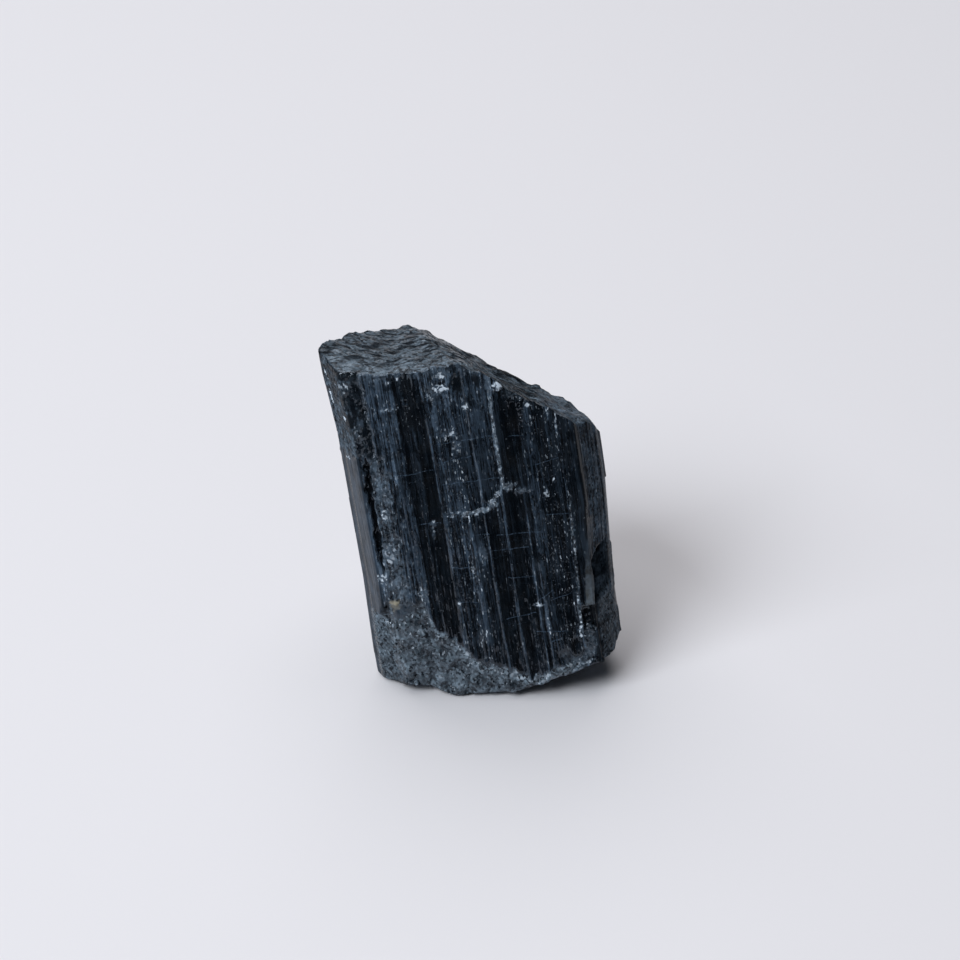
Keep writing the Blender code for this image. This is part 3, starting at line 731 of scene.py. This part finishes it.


# ---- Chips and hairline cracks ----
# Small cleaved chips, painted white as highlights, cluster on frosted ribs with crumbled mineral.
# Hairline cracks cross the ribs, nearly square to them.

# Chips and crumbled places of the ribs: rows as lay_patches takes them.
FRONT_PATCHES = (
    (-3.3, 42.6, 1.1, 0.9, 0.8, 0.3, 0.3, 0.9, 0.1, 0.0),
    (-2.2, 42.9, 1.0, 0.4, 0.9, 0.0, 0.2, 0.7, 0.42, 0.08),
    (-3.7, 41.5, 0.45, 0.3, 0.9, 0.0, 0.2, 0.7, 0.42, 0.06),
    (-1.9, 44.6, 0.6, 0.5, 0.8, 0.2, 0.3, 0.9, 0.25, 0.0),
    (-3.7, 38.3, 0.55, 1.1, 0.85, 0.2, 0.0, 0.1, 0.06, 0.05),
    (-2.4, 36.3, 1.1, 0.55, 0.75, 0.5, 0.1, 1.0, 0.22, 0.0),
    (-1.5, 34.4, 0.5, 0.7, 0.6, 0.6, 0.1, 1.0, 0.12, 0.0),
    (0.6, 39.6, 0.5, 0.4, 0.8, 0.2, 0.2, 0.8, 0.34, 0.05),
    (0.1, 43.1, 0.65, 1.4, 0.05, 0.2, 0.3, 0.0, 0.0, -0.15),
    (5.5, 42.2, 0.7, 0.6, 0.9, 0.0, 0.1, 0.4, 0.46, 0.1),
    (6.7, 41.8, 0.18, 0.4, 0.8, 0.0, 0.0, 0.0, 0.45, 0.08),
    (8.0, 40.6, 1.6, 1.1, 0.35, 0.2, 0.6, 0.3, 0.02, -0.15),
    (9.1, 38.8, 0.28, 0.3, 0.8, 0.0, 0.0, 0.4, 0.42, 0.05),
    (7.1, 37.8, 0.8, 1.7, 0.04, 0.5, 0.0, 0.0, 0.0, -0.2),
    (-7.6, 45.3, 0.22, 0.25, 0.8, 0.0, 0.2, 0.5, 0.48, 0.05),
    (-8.6, 44.9, 0.2, 0.22, 0.8, 0.0, 0.2, 0.5, 0.48, 0.05),
    (-6.6, 43.8, 0.75, 1.9, 0.06, 0.6, 0.1, 0.1, 0.0, -0.2),
    (-6.6, 39.6, 1.2, 2.0, 0.05, 0.5, 0.1, 0.1, 0.0, -0.15),
    (11.5, 37.4, 0.15, 1.3, 0.65, 0.6, 0.0, 0.9, 0.25, 0.05),
    (12.4, 35.4, 0.15, 1.0, 0.6, 0.6, 0.0, 0.9, 0.2, 0.05),
    (9.7, 26.1, 0.3, 0.7, 0.7, 0.6, 0.2, 1.0, 0.24, 0.03),
    (6.4, 26.9, 0.9, 0.35, 0.45, 0.1, 0.5, 0.2, 0.02, 0.1),
    (11.0, 27.6, 0.15, 0.3, 0.7, 0.4, 0.1, 0.5, 0.4, 0.05),
    (-6.3, 24.0, 0.45, 0.35, 0.7, 0.3, 0.3, 0.8, 0.2, 0.05),
    (-6.4, 22.9, 0.2, 1.0, 0.55, 0.3, 0.2, 0.3, 0.1, 0.05),
    (-4.4, 12.0, 0.28, 0.2, 0.8, 0.0, 0.0, 0.4, 0.38, 0.04),
    (-1.9, 16.4, 0.25, 1.3, 0.7, 0.6, 0.1, 0.9, 0.2, 0.0),
    (10.0, 15.5, 1.4, 2.6, 0.15, 0.8, 0.0, 0.55, 0.0, 0.0),
    (6.6, 10.0, 0.6, 0.35, 0.8, 0.5, 0.1, 1.0, 0.24, 0.0),
    (7.6, 7.5, 0.2, 1.8, 0.6, 0.8, 0.1, 0.9, 0.05, 0.0),
    (-0.2, 18.6, 0.6, 1.6, 0.55, 0.6, 0.1, 0.5, 0.03, 0.0),
)
CRACK_WAVE = (0.05, 1.4, 97)
# Cracks: start (u, h) and end (u, h).
CRACKS = (
    (1.0, 18.9, 6.4, 18.6), (2.0, 21.0, 8.2, 20.6), (6.4, 10.4, 9.2, 11.9), (8.6, 10.4, 11.7, 10.8),
    (5.6, 6.1, 10.4, 5.3), (7.6, 4.2, 9.4, 4.5), (-4.6, 12.2, -2.0, 11.8), (-5.0, 17.3, -1.6, 16.9),
    (-4.2, 35.1, 4.1, 35.1), (5.6, 34.9, 7.9, 34.6), (-8.6, 31.4, -5.0, 31.8),
    (2.8, 14.6, 6.6, 14.2), (-11.9, 31.7, -8.6, 31.5), (-4.4, 29.3, 3.8, 29.0),
    (9.2, 22.8, 12.4, 22.4), (1.4, 8.6, 6.2, 8.9), (-1.0, 21.6, 1.2, 21.4), (8.8, 30.2, 12.2, 30.6),
    (-4.5, 32.4, 0.4, 32.7), (-8.4, 24.2, -5.0, 24.0),
)


def hairline_cracks(u, h, front):
    """Signed distance along the axis to the nearest crack, in millimetres."""
    nearest = np.full_like(u, NO_CRACK)
    wave = wavering(u, h, CRACK_WAVE)
    for start_u, start_h, end_u, end_h in CRACKS:
        along = (u - start_u) / (end_u - start_u)
        distance = h - start_h - (end_h - start_h) * along + wave
        here = (front > 0.5) & (along > 0.0) & (along < 1.0) & (np.abs(distance) < np.abs(nearest))
        nearest = np.where(here, distance, nearest)
    return nearest


# ---- The skin of the crystal ----
# One closed surface: out from the middle of the lower break, up the sides, and in over the
# upper break, with every column of the section running through all three.

# What counts as front by its depth in the section (v), and as brink by its drop below the
# upper break and its place (u): start and full.
FRONT_ON, BRINK_DROP, BRINK_RIGHT = (-0.0035, -0.0060), (0.0016, 0.0004), (0.0040, 0.0020)
BRINK_COVER, BRINK = 0.7, dict(frost=0.75, ribbed=0.4, grain=0.35, speckle=0.2)
# How far fine ribs vary the frost, and the share of the ribs that a broken and a whole side keep.
FINE_FROST = 0.35
RIBS_LEFT = (0.2, 1.0)
# The upper break: where its front rim and its shoulder begin and are full, and its hollows.
# Its hollows are painted dark, as shade, and its front rim painted paler, as a highlight.
FRONT_RIM_HIGHLIGHT, SHOULDER_FROM = (-6.5, -11.0), (2.0, 3.5)
HOLLOW_SLANT, HOLLOW_WAVE, HOLLOW_EDGE = (0.5, 0.2), (1.0, 1.5, 98), (0.1, 0.7)
TOP_FROST, TOP_FLAKY, TOP_GRAIN, TOP_SPECKLE = (0.45, 0.75), (0.8, 0.15), (0.85, 0.0), (0.05, 0.15)
RIM_HIGHLIGHT_FROST = 0.20
HOLLOW_COVER, HOLLOW_PAINTED_SHADE = 0.9, dict(frost=0.06, dull=1.0, grain=0.6)
SHOULDER_SHADES, SHOULDER = (0.35, 0.90), dict(frost=(0.0, 1.0), dull=0.9, grain=0.9)
WEDGE = dict(frost=(0.50, 0.95), dull=0.4, grain=0.5, ribbed=0.3, speckle=0.1)
# Rows of the mesh.
FOOT_ROWS = 16
SIDE_ROWS = 164
TOP_ROWS = 40


def side_surface(place, out, arc, h, drop):
    """Sides at heights h: the section, plus its ribs, less the damage, moved along outward.

    The front's brink, just under the upper break, is frosted and crumbled.
    """
    u0 = np.broadcast_to(place[0], h.shape)
    v0 = np.broadcast_to(place[1], h.shape)
    front = ramp(v0, *FRONT_ON)
    finish = {name: np.zeros_like(h) for name in FINISHES}
    ribs = broad_ribs(arc, place, h, finish)
    fine, shade = fine_ribs(np.broadcast_to(arc, h.shape), h)
    finish["frost"] = finish["frost"] * (1.0 + FINE_FROST * shade)
    brink = front * ramp(drop, *BRINK_DROP) * ramp(u0, *BRINK_RIGHT)
    cover(finish, BRINK_COVER * brink, BRINK)

    u_mm, v_mm, h_mm = u0 / MM, v0 / MM, h / MM
    cut = flake(u_mm, h_mm, front, finish)
    cut = cut + left_edge(u_mm, h_mm, front, finish)
    cut = cut + right_edge(u_mm, h_mm, front, finish)
    cut = np.maximum(cut, granular_break(u_mm, v_mm, h_mm, front, finish))
    cut = cut - lay_patches(u_mm, h_mm, front, finish, FRONT_PATCHES)
    finish["crack"] = hairline_cracks(u_mm, h_mm, front)

    lift = between(RIBS_LEFT, finish["ribbed"]) * (ribs + fine) - cut * MM
    u = u0 + out[0] * lift + change_of_width(u0, h)
    v = v0 + out[1] * lift
    return u, v, finish


def top_finish(u, v, shade):
    """Finish of a break across the prism: flaky, with hollows painted dark as shade, and paler at
    its front rim, as a painted highlight.

    The shoulder is dark and rough, and ends in a paler, smoother wedge.
    """
    u_mm, v_mm = u / MM, v / MM
    painted_rim_highlight = ramp(v_mm, *FRONT_RIM_HIGHLIGHT)
    hollows = wavering(HOLLOW_SLANT[0] * u_mm + HOLLOW_SLANT[1] * v_mm, v_mm, HOLLOW_WAVE)
    hollows = ramp(hollows, *HOLLOW_EDGE) * (1.0 - painted_rim_highlight)
    wedge = ramp(u, WEDGE_FROM, WEDGE_FROM + WEDGE_STEP_LENGTH)
    finish = {name: np.zeros_like(u) for name in FINISHES}
    finish["frost"] = between(TOP_FROST, shade) + RIM_HIGHLIGHT_FROST * painted_rim_highlight
    finish["flaky"] = between(TOP_FLAKY, wedge)
    finish["grain"] = between(TOP_GRAIN, wedge)
    finish["speckle"] = between(TOP_SPECKLE, painted_rim_highlight)
    finish["crack"] = np.full_like(u, NO_CRACK)
    cover(finish, HOLLOW_COVER * hollows, HOLLOW_PAINTED_SHADE)
    cover(finish, ramp(u_mm, *SHOULDER_FROM), SHOULDER, ramp(shade, *SHOULDER_SHADES))
    cover(finish, wedge, WEDGE, shade)
    return finish


def crystal_surface():
    """Rows of the skin from foot to top in crystal coordinates, with the finish of each point."""
    place, out, arc = section_columns()
    low = foot_height(place[0], place[1])
    high = upper_level(place[0], place[1])[0]
    share = np.linspace(0.0, 1.0, SIDE_ROWS)[:, None]
    h = low + (high - low) * share
    u, v, side = side_surface(place, out, arc, h, high - h)
    h[0] = foot_height(u[0], v[0])
    h[-1] = upper_level(u[-1], v[-1])[0]

    inward = np.linspace(0.0, 1.0, TOP_ROWS + 1)[1:-1, None]
    top_u = u[-1] * (1.0 - inward)
    top_v = v[-1] * (1.0 - inward)
    top_h, top_shade = upper_level(top_u, top_v)
    top = top_finish(top_u, top_v, top_shade)
    outward = np.linspace(0.0, 1.0, FOOT_ROWS + 1)[1:-1, None]
    foot_u = u[0] * outward
    foot_v = v[0] * outward
    foot = top_finish(foot_u, foot_v, np.full_like(foot_u, 0.5))

    place_rows = (
        np.concatenate((foot_u, u, top_u)),
        np.concatenate((foot_v, v, top_v)),
        np.concatenate((foot_height(foot_u, foot_v), h, top_h)),
    )
    finish = {name: np.concatenate((foot[name], side[name], top[name])) for name in FINISHES}
    return place_rows, finish


def to_table(u, v, h):
    """Crystal coordinates turned by the lean and moved to where the crystal stands."""
    points = np.stack((u, v, h), axis=-1) @ np.array(LEAN).T
    return points + np.array(AXIS_FOOT)


def closed_skin(name, rows, columns, points, first, last):
    """Mesh of a grid that is closed round its columns and drawn to a point at both ends."""
    index = np.arange(rows * columns).reshape(rows, columns)
    turned = np.roll(index, -1, axis=1)
    quads = np.stack((index[:-1], turned[:-1], turned[1:], index[1:]), axis=-1).reshape(-1, 4)
    foot = rows * columns
    fan_foot = np.stack((turned[0], index[0], np.full(columns, foot)), axis=-1)
    fan_top = np.stack((index[-1], turned[-1], np.full(columns, foot + 1)), axis=-1)
    places = np.concatenate((points.reshape(-1, 3), first, last))
    mesh = bpy.data.meshes.new(name)
    faces = quads.tolist() + fan_foot.tolist() + fan_top.tolist()
    mesh.from_pydata(places.tolist(), [], faces)
    mesh.shade_smooth()
    return mesh


def add_finish(mesh, name, rows):
    """Store one finish on every vertex; the two middles take the value beside them."""
    layer = mesh.attributes.new(name, "FLOAT", "POINT")
    values = np.append(rows.ravel(), (rows[0, 0], rows[-1, 0]))
    layer.data.foreach_set("value", np.clip(values, -NO_CRACK, NO_CRACK).astype(np.float32))


(skin_u, skin_v, skin_h), skin_finish = crystal_surface()
middle = np.zeros(1)
foot_middle = to_table(middle, middle, foot_height(middle, middle))
top_middle = to_table(middle, middle, upper_level(middle, middle)[0])
crystal_mesh = closed_skin(
    "tourmaline_skin", *skin_u.shape, to_table(skin_u, skin_v, skin_h), foot_middle, top_middle
)
for finish_name in FINISHES:
    add_finish(crystal_mesh, finish_name, skin_finish[finish_name])
crystal = bpy.data.objects.new("tourmaline_skin", crystal_mesh)
bpy.context.scene.collection.objects.link(crystal)


# ---- Schorl ----
# Black iron tourmaline, IOR 1.64, a little dulled by weather. Its growth faces are glassy, blue
# black or brown black; where the skin is lost it scatters light and looks blue-grey. Every rib
# segment, flake and grain is a facet of its own, so neighbours flash or stay dark.

SCHORL_IOR = 1.64
WEATHERED_SPECULAR, DULL_SPECULAR = 0.40, 0.0
SPECULAR_TINT = "#e4f0ff"
BLUE_BLACK = "#03060a"
BROWN_BLACK = "#0b0a09"
FROST_DIM = "#0a131c"
FROST_PALE = "#566a7f"
GRAIN_DIM = "#0e151c"
GRAIN_PALE = "#7b8b98"
# White painted for glints and chips as highlights, and for crumbs partly as sparkle.
SPARKLE_AND_CRUMB_WHITE = "#d3e0ed"
# Cream mineral; on the tongue the same colour is painted as a sheen.
CREAM_AND_SHEEN = "#a39c86"
# Cells to a millimetre: across the crystal twice, then along its axis. Each is one facet.
CELLS = {
    "long rib": (2.2, 2.2, 0.10), "rib": (6.5, 6.5, 0.30), "rib step": (5.2, 5.2, 1.10),
    "flake": (1.2, 2.4, 2.4), "grain": (3.0, 3.0, 3.0), "crumb": (6.0, 6.0, 6.0),
    "glint": (7.0, 7.0, 2.6),
}
# Shade of a facet: its cells, how far they vary it, and the finish that they do it in.
SHADES = (
    ("long rib", 0.7, "ribbed"), ("rib", 1.0, "ribbed"), ("rib step", 0.8, "ribbed"),
    ("flake", 1.5, "flaky"), ("grain", 0.7, "rough"), ("grain", 1.3, "grain"),
)
# Lean of a facet: which way, its cells, which value of theirs, the value that leaves it flat,
# how far it leans, and the finish that it does so in.
LEANS = (
    ("around", "long rib", 0, 0.5, 0.32, "split"), ("around", "rib", 0, 0.5, 0.40, "split"),
    ("along", "rib step", 1, 0.0, 0.14, "ribbed"), ("around", "rib step", 0, 0.5, 0.16, "split"),
    ("around", "flake", 0, 0.5, 0.50, "flaky"), ("outward", "flake", 1, 0.5, 0.20, "flaky"),
    ("around", "grain", 0, 0.5, 0.50, "rough"), ("along", "grain", 1, 0.5, 0.40, "rough"),
    ("around", "grain", 0, 0.5, 0.90, "grain"), ("along", "grain", 1, 0.5, 0.90, "grain"),
    ("around", "crumb", 0, 0.5, 0.40, "crumb"), ("along", "crumb", 1, 0.3, 0.40, "crumb"),
)
# Pairs are a factor and what is added: how a ribbed face splits with its frost, and what broad
# patches do to the shade and to the brown.
SPLIT, PATCH_SHADE, PATCH_BROWN = (1.1, 0.35), (1.7, -0.40), (4.0, -1.6)
PATCHES = {"Scale": 0.5, "Detail": 3.0}
# Glints are painted highlights, and crumbs are painted white partly as sparkle.
# Crumbs and glints: how many more a crumbed finish has, the share without any, how white.
CRUMBS, NO_CRUMB, CRUMB_AND_SPARKLE_WHITE = 0.22, 0.995, 0.10
GLINTS, NO_GLINT, PAINTED_GLINT_WHITE = 6.0, 0.94, 0.4
CRACK_HALF, CRACK_FROST = 0.07, 0.42
CHIP_COVER, CHIP_CONTRAST = 1.9, 2.0
GLASS_ROUGHNESS, FROST_ROUGHNESS, DULL_ROUGHNESS = 0.08, 0.40, 0.35


def linear(hex_colour, alpha=1.0):
    """sRGB hex to linear RGBA."""
    srgb = [int(hex_colour[i:i + 2], 16) / 255.0 for i in (1, 3, 5)]
    return [c / 12.92 if c <= 0.04045 else ((c + 0.055) / 1.055) ** 2.4 for c in srgb] + [alpha]


def add_node(tree, kind, inputs=(), output=0, **settings):
    """Add a node with its settings, set or link its inputs, and return one of its outputs.

    Inputs are a dictionary by socket, or a row from the first socket on.
    """
    node = tree.nodes.new("ShaderNode" + kind)
    for name, value in settings.items():
        setattr(node, name, value)
    for socket, value in inputs.items() if isinstance(inputs, dict) else enumerate(inputs):
        if isinstance(value, bpy.types.NodeSocket):
            tree.links.new(value, node.inputs[socket])
        else:
            node.inputs[socket].default_value = value
    return node.outputs[output]


def cell_values(add, vector, per_mm):
    """Three random values of each cell, from 0 to 1; per_mm is how many cells to a millimetre."""
    stretched = add("Mapping", {"Vector": vector, "Scale": per_mm})
    cells = add("TexVoronoi", {"Vector": stretched, "Scale": 1.0}, "Color")
    return add("SeparateColor", (cells,)).node.outputs


def weighed(add, value, centre, strength, weight):
    """(value - centre) * strength * weight."""
    value = add("Math", (value, centre), operation="SUBTRACT")
    value = add("Math", (value, strength), operation="MULTIPLY")
    return add("Math", (value, weight), operation="MULTIPLY")


def schorl_material():
    """Schorl, from the finishes of the skin."""
    material = bpy.data.materials.new("schorl")
    material.use_nodes = True
    tree = material.node_tree
    shader = tree.nodes["Principled BSDF"]
    add = partial(add_node, tree)
    finish = {name: add("Attribute", output="Fac", attribute_name=name) for name in FINISHES}
    frost, dull, speckle = finish["frost"], finish["dull"], finish["speckle"]
    finish["rough"] = add("Math", (frost, finish["ribbed"]), operation="MULTIPLY")
    split = add("Math", (frost, *SPLIT), operation="MULTIPLY_ADD")
    finish["split"] = add("Math", (finish["ribbed"], split), operation="MULTIPLY")

    # Object coordinates turned to the crystal's own axes, in millimetres.
    place = add("TexCoord", output="Object")
    turn = {"Vector": place, "Location": AXIS_FOOT, "Rotation": LEAN.to_euler()}
    turn["Scale"] = (MM, MM, MM)
    crystal_mm = add("Mapping", turn, vector_type="TEXTURE")
    cells = {name: cell_values(add, crystal_mm, per_mm) for name, per_mm in CELLS.items()}
    patchy = add("TexNoise", {"Vector": crystal_mm, **PATCHES})

    # Shade: each facet has its own share of frost, in broad patches.
    shade = add("Math", (patchy, *PATCH_SHADE), operation="MULTIPLY_ADD")
    for cell, strength, name in SHADES:
        part = weighed(add, cells[cell][2], 0.5, strength, finish[name])
        shade = add("Math", (shade, part), operation="ADD")
    shade = add("Math", (shade, 0.0), operation="ADD", use_clamp=True)

    # Crumbs are small loose bits, painted white: partly their own pale colour, partly sparkle.
    # Glints are painted highlights of small faces that catch the window.
    crumb, glint = cells["crumb"], cells["glint"]
    crumbed = add("Math", (speckle, CRUMBS, crumb[2]), operation="MULTIPLY_ADD")
    finish["crumb"] = add("Math", (crumbed, NO_CRUMB), operation="GREATER_THAN")
    crumb_and_sparkle_white = add("Math", (finish["crumb"], crumb[0]), operation="MULTIPLY")
    crumb_and_sparkle_white = add("Math", (crumb_and_sparkle_white, CRUMB_AND_SPARKLE_WHITE), operation="MULTIPLY")
    painted_glint_white = add("Math", (speckle, GLINTS, finish["rough"]), operation="MULTIPLY_ADD")
    is_glint = add("Math", (glint[0], NO_GLINT), operation="GREATER_THAN")
    for factor in (is_glint, shade, glint[1]):
        painted_glint_white = add("Math", (painted_glint_white, factor), operation="MULTIPLY")
    painted_glint_white = add("Math", (painted_glint_white, PAINTED_GLINT_WHITE), operation="MULTIPLY", use_clamp=True)

    # Facing: each facet leans its own way; steps of the growth faces only lean up the axis.
    normal = add("NewGeometry", output="Normal")
    axis = add("CombineXYZ", tuple(LEAN.col[2]))
    around = add("VectorMath", (axis, normal), operation="CROSS_PRODUCT")
    directions = {"around": around, "along": axis, "outward": normal}
    facing = normal
    for direction, cell, band, flat, strength, name in LEANS:
        lean = weighed(add, cells[cell][band], flat, strength, finish[name])
        lean = add("VectorMath", {0: directions[direction], "Scale": lean}, operation="SCALE")
        facing = add("VectorMath", (facing, lean), operation="ADD")
    facing = add("VectorMath", (facing,), operation="NORMALIZE")

    # Hairline cracks show pale where they cross some of the ribs.
    near_crack = add("Math", (finish["crack"],), operation="ABSOLUTE")
    on_crack = add("Math", (near_crack, CRACK_HALF), operation="LESS_THAN")
    cracked = add("Math", (on_crack, cells["rib step"][0]), operation="MULTIPLY")
    frosted = add("Math", (frost, shade), operation="MULTIPLY")
    frosted = {0: cracked, 1: CRACK_FROST, 2: frosted}
    frosted = add("Math", frosted, operation="MULTIPLY_ADD", use_clamp=True)

    # White chips, painted highlights of cleaved faces, cover more of the grains the barer they are.
    painted_chip_highlight = add("Math", (finish["pale"], CHIP_COVER), operation="MULTIPLY")
    painted_chip_highlight = add("Math", (painted_chip_highlight, cells["grain"][0]), operation="SUBTRACT")
    painted_chip_highlight = add("Math", (painted_chip_highlight, CHIP_CONTRAST), operation="MULTIPLY", use_clamp=True)

    # Colour: black skin, frost over it, grains, then glints, crumbs and chips, painted white as
    # highlights, the crumbs only in part, and cream mineral, which on the tongue is a painted
    # sheen.
    brown = add("Math", (patchy, *PATCH_BROWN), operation="MULTIPLY_ADD", use_clamp=True)
    grain_shade = add("Math", (shade, frost), operation="MULTIPLY")
    grains = {0: grain_shade, 6: linear(GRAIN_DIM), 7: linear(GRAIN_PALE)}
    grains = add("Mix", grains, 2, data_type="RGBA")
    white = linear(SPARKLE_AND_CRUMB_WHITE)
    colour = linear(BLUE_BLACK)
    for share, over in (
        (brown, linear(BROWN_BLACK)), (frost, linear(FROST_DIM)), (frosted, linear(FROST_PALE)),
        (finish["grain"], grains), (painted_glint_white, white), (crumb_and_sparkle_white, white),
        (painted_chip_highlight, white), (finish["cream"], linear(CREAM_AND_SHEEN)),
    ):
        colour = add("Mix", {0: share, 6: colour, 7: over}, 2, data_type="RGBA")

    # Frost and weathering take the gloss off; pits and broken corners send no mirror light back.
    roughness = add("Math", (frost, FROST_ROUGHNESS, GLASS_ROUGHNESS), operation="MULTIPLY_ADD")
    roughness = add("Math", (dull, DULL_ROUGHNESS, roughness), operation="MULTIPLY_ADD")
    specular = add("Mix", {0: dull, 2: WEATHERED_SPECULAR, 3: DULL_SPECULAR})

    tree.links.new(colour, shader.inputs["Base Color"])
    tree.links.new(roughness, shader.inputs["Roughness"])
    tree.links.new(specular, shader.inputs["Specular IOR Level"])
    tree.links.new(facing, shader.inputs["Normal"])
    shader.inputs["IOR"].default_value = SCHORL_IOR
    shader.inputs["Specular Tint"].default_value = linear(SPECULAR_TINT)
    return material


crystal_mesh.materials.append(schorl_material())
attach(crystal, "root")
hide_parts("tourmaline_crystal")


# ---- Table ----
# A plain board with pale matt paint. The crystal stands on it loose, on its lower break, and
# the board runs past every edge of the view.

TABLE_COLOUR = "#e2e0e3"
TABLE_ROUGHNESS = 0.6
TABLE_CORNERS = ((-1.3, -0.15, 0.0), (1.3, -0.15, 0.0), (1.3, 1.8, 0.0), (-1.3, 1.8, 0.0))

table_mesh = bpy.data.meshes.new("table")
table_mesh.from_pydata(TABLE_CORNERS, [], [(0, 1, 2, 3)])
table = bpy.data.objects.new("table", table_mesh)
bpy.context.scene.collection.objects.link(table)
paint = bpy.data.materials.new("matt_paint")
paint.use_nodes = True
paint_shader = paint.node_tree.nodes["Principled BSDF"]
paint_shader.inputs["Base Color"].default_value = linear(TABLE_COLOUR)
paint_shader.inputs["Roughness"].default_value = TABLE_ROUGHNESS
table_mesh.materials.append(paint)


# ---- Light and camera ----
# A large soft window at the front left and a soft ceiling behind, in a dim grey room. The camera
# has a long lens and looks down at the crystal's front by 35 degrees.

# Softboxes: name, place, side, power and colour.
SOFTBOXES = (
    ("window", (-0.95, -0.62, 1.20), 0.90, 21.0, (0.95, 1.00, 1.05)),
    ("ceiling", (-0.35, 0.95, 1.75), 2.00, 30.0, (0.98, 0.975, 0.99)),
)
ROOM_COLOUR = (0.030, 0.032, 0.036, 1.0)
CAMERA_ELEVATION = math.radians(35.0)
CAMERA_DISTANCE = 0.385
AIM_RIGHT, AIM_UP = -0.0035, 0.0240
LENS, SENSOR_WIDTH, NEAREST_SEEN = 100.0, 36.0, 0.01


def add_softbox(name, place, size, power, colour):
    """A square area light at place, turned to the crystal."""
    light = bpy.data.lights.new(name, "AREA")
    light.size = size
    light.energy = power
    light.color = colour
    box = bpy.data.objects.new(name, light)
    box.location = place
    box.rotation_euler = Vector(place).to_track_quat("Z", "Y").to_euler()
    bpy.context.scene.collection.objects.link(box)


for softbox in SOFTBOXES:
    add_softbox(*softbox)
world = bpy.data.worlds.new("room")
world.use_nodes = True
world.node_tree.nodes["Background"].inputs["Color"].default_value = ROOM_COLOUR
bpy.context.scene.world = world
bpy.context.scene.view_settings.view_transform = "Standard"

camera_up = Vector((0.0, math.sin(CAMERA_ELEVATION), math.cos(CAMERA_ELEVATION)))
camera_back = Vector((0.0, -math.cos(CAMERA_ELEVATION), math.sin(CAMERA_ELEVATION)))
aim = Vector(AXIS_FOOT) + Vector((AIM_RIGHT, 0.0, 0.0)) + camera_up * AIM_UP
camera_data = bpy.data.cameras.new("camera")
camera_data.lens = LENS
camera_data.sensor_width = SENSOR_WIDTH
camera_data.clip_start = NEAREST_SEEN
camera = bpy.data.objects.new("camera", camera_data)
camera.location = aim + camera_back * CAMERA_DISTANCE
camera.rotation_euler = camera_back.to_track_quat("Z", "Y").to_euler()
bpy.context.scene.collection.objects.link(camera)
bpy.context.scene.camera = camera
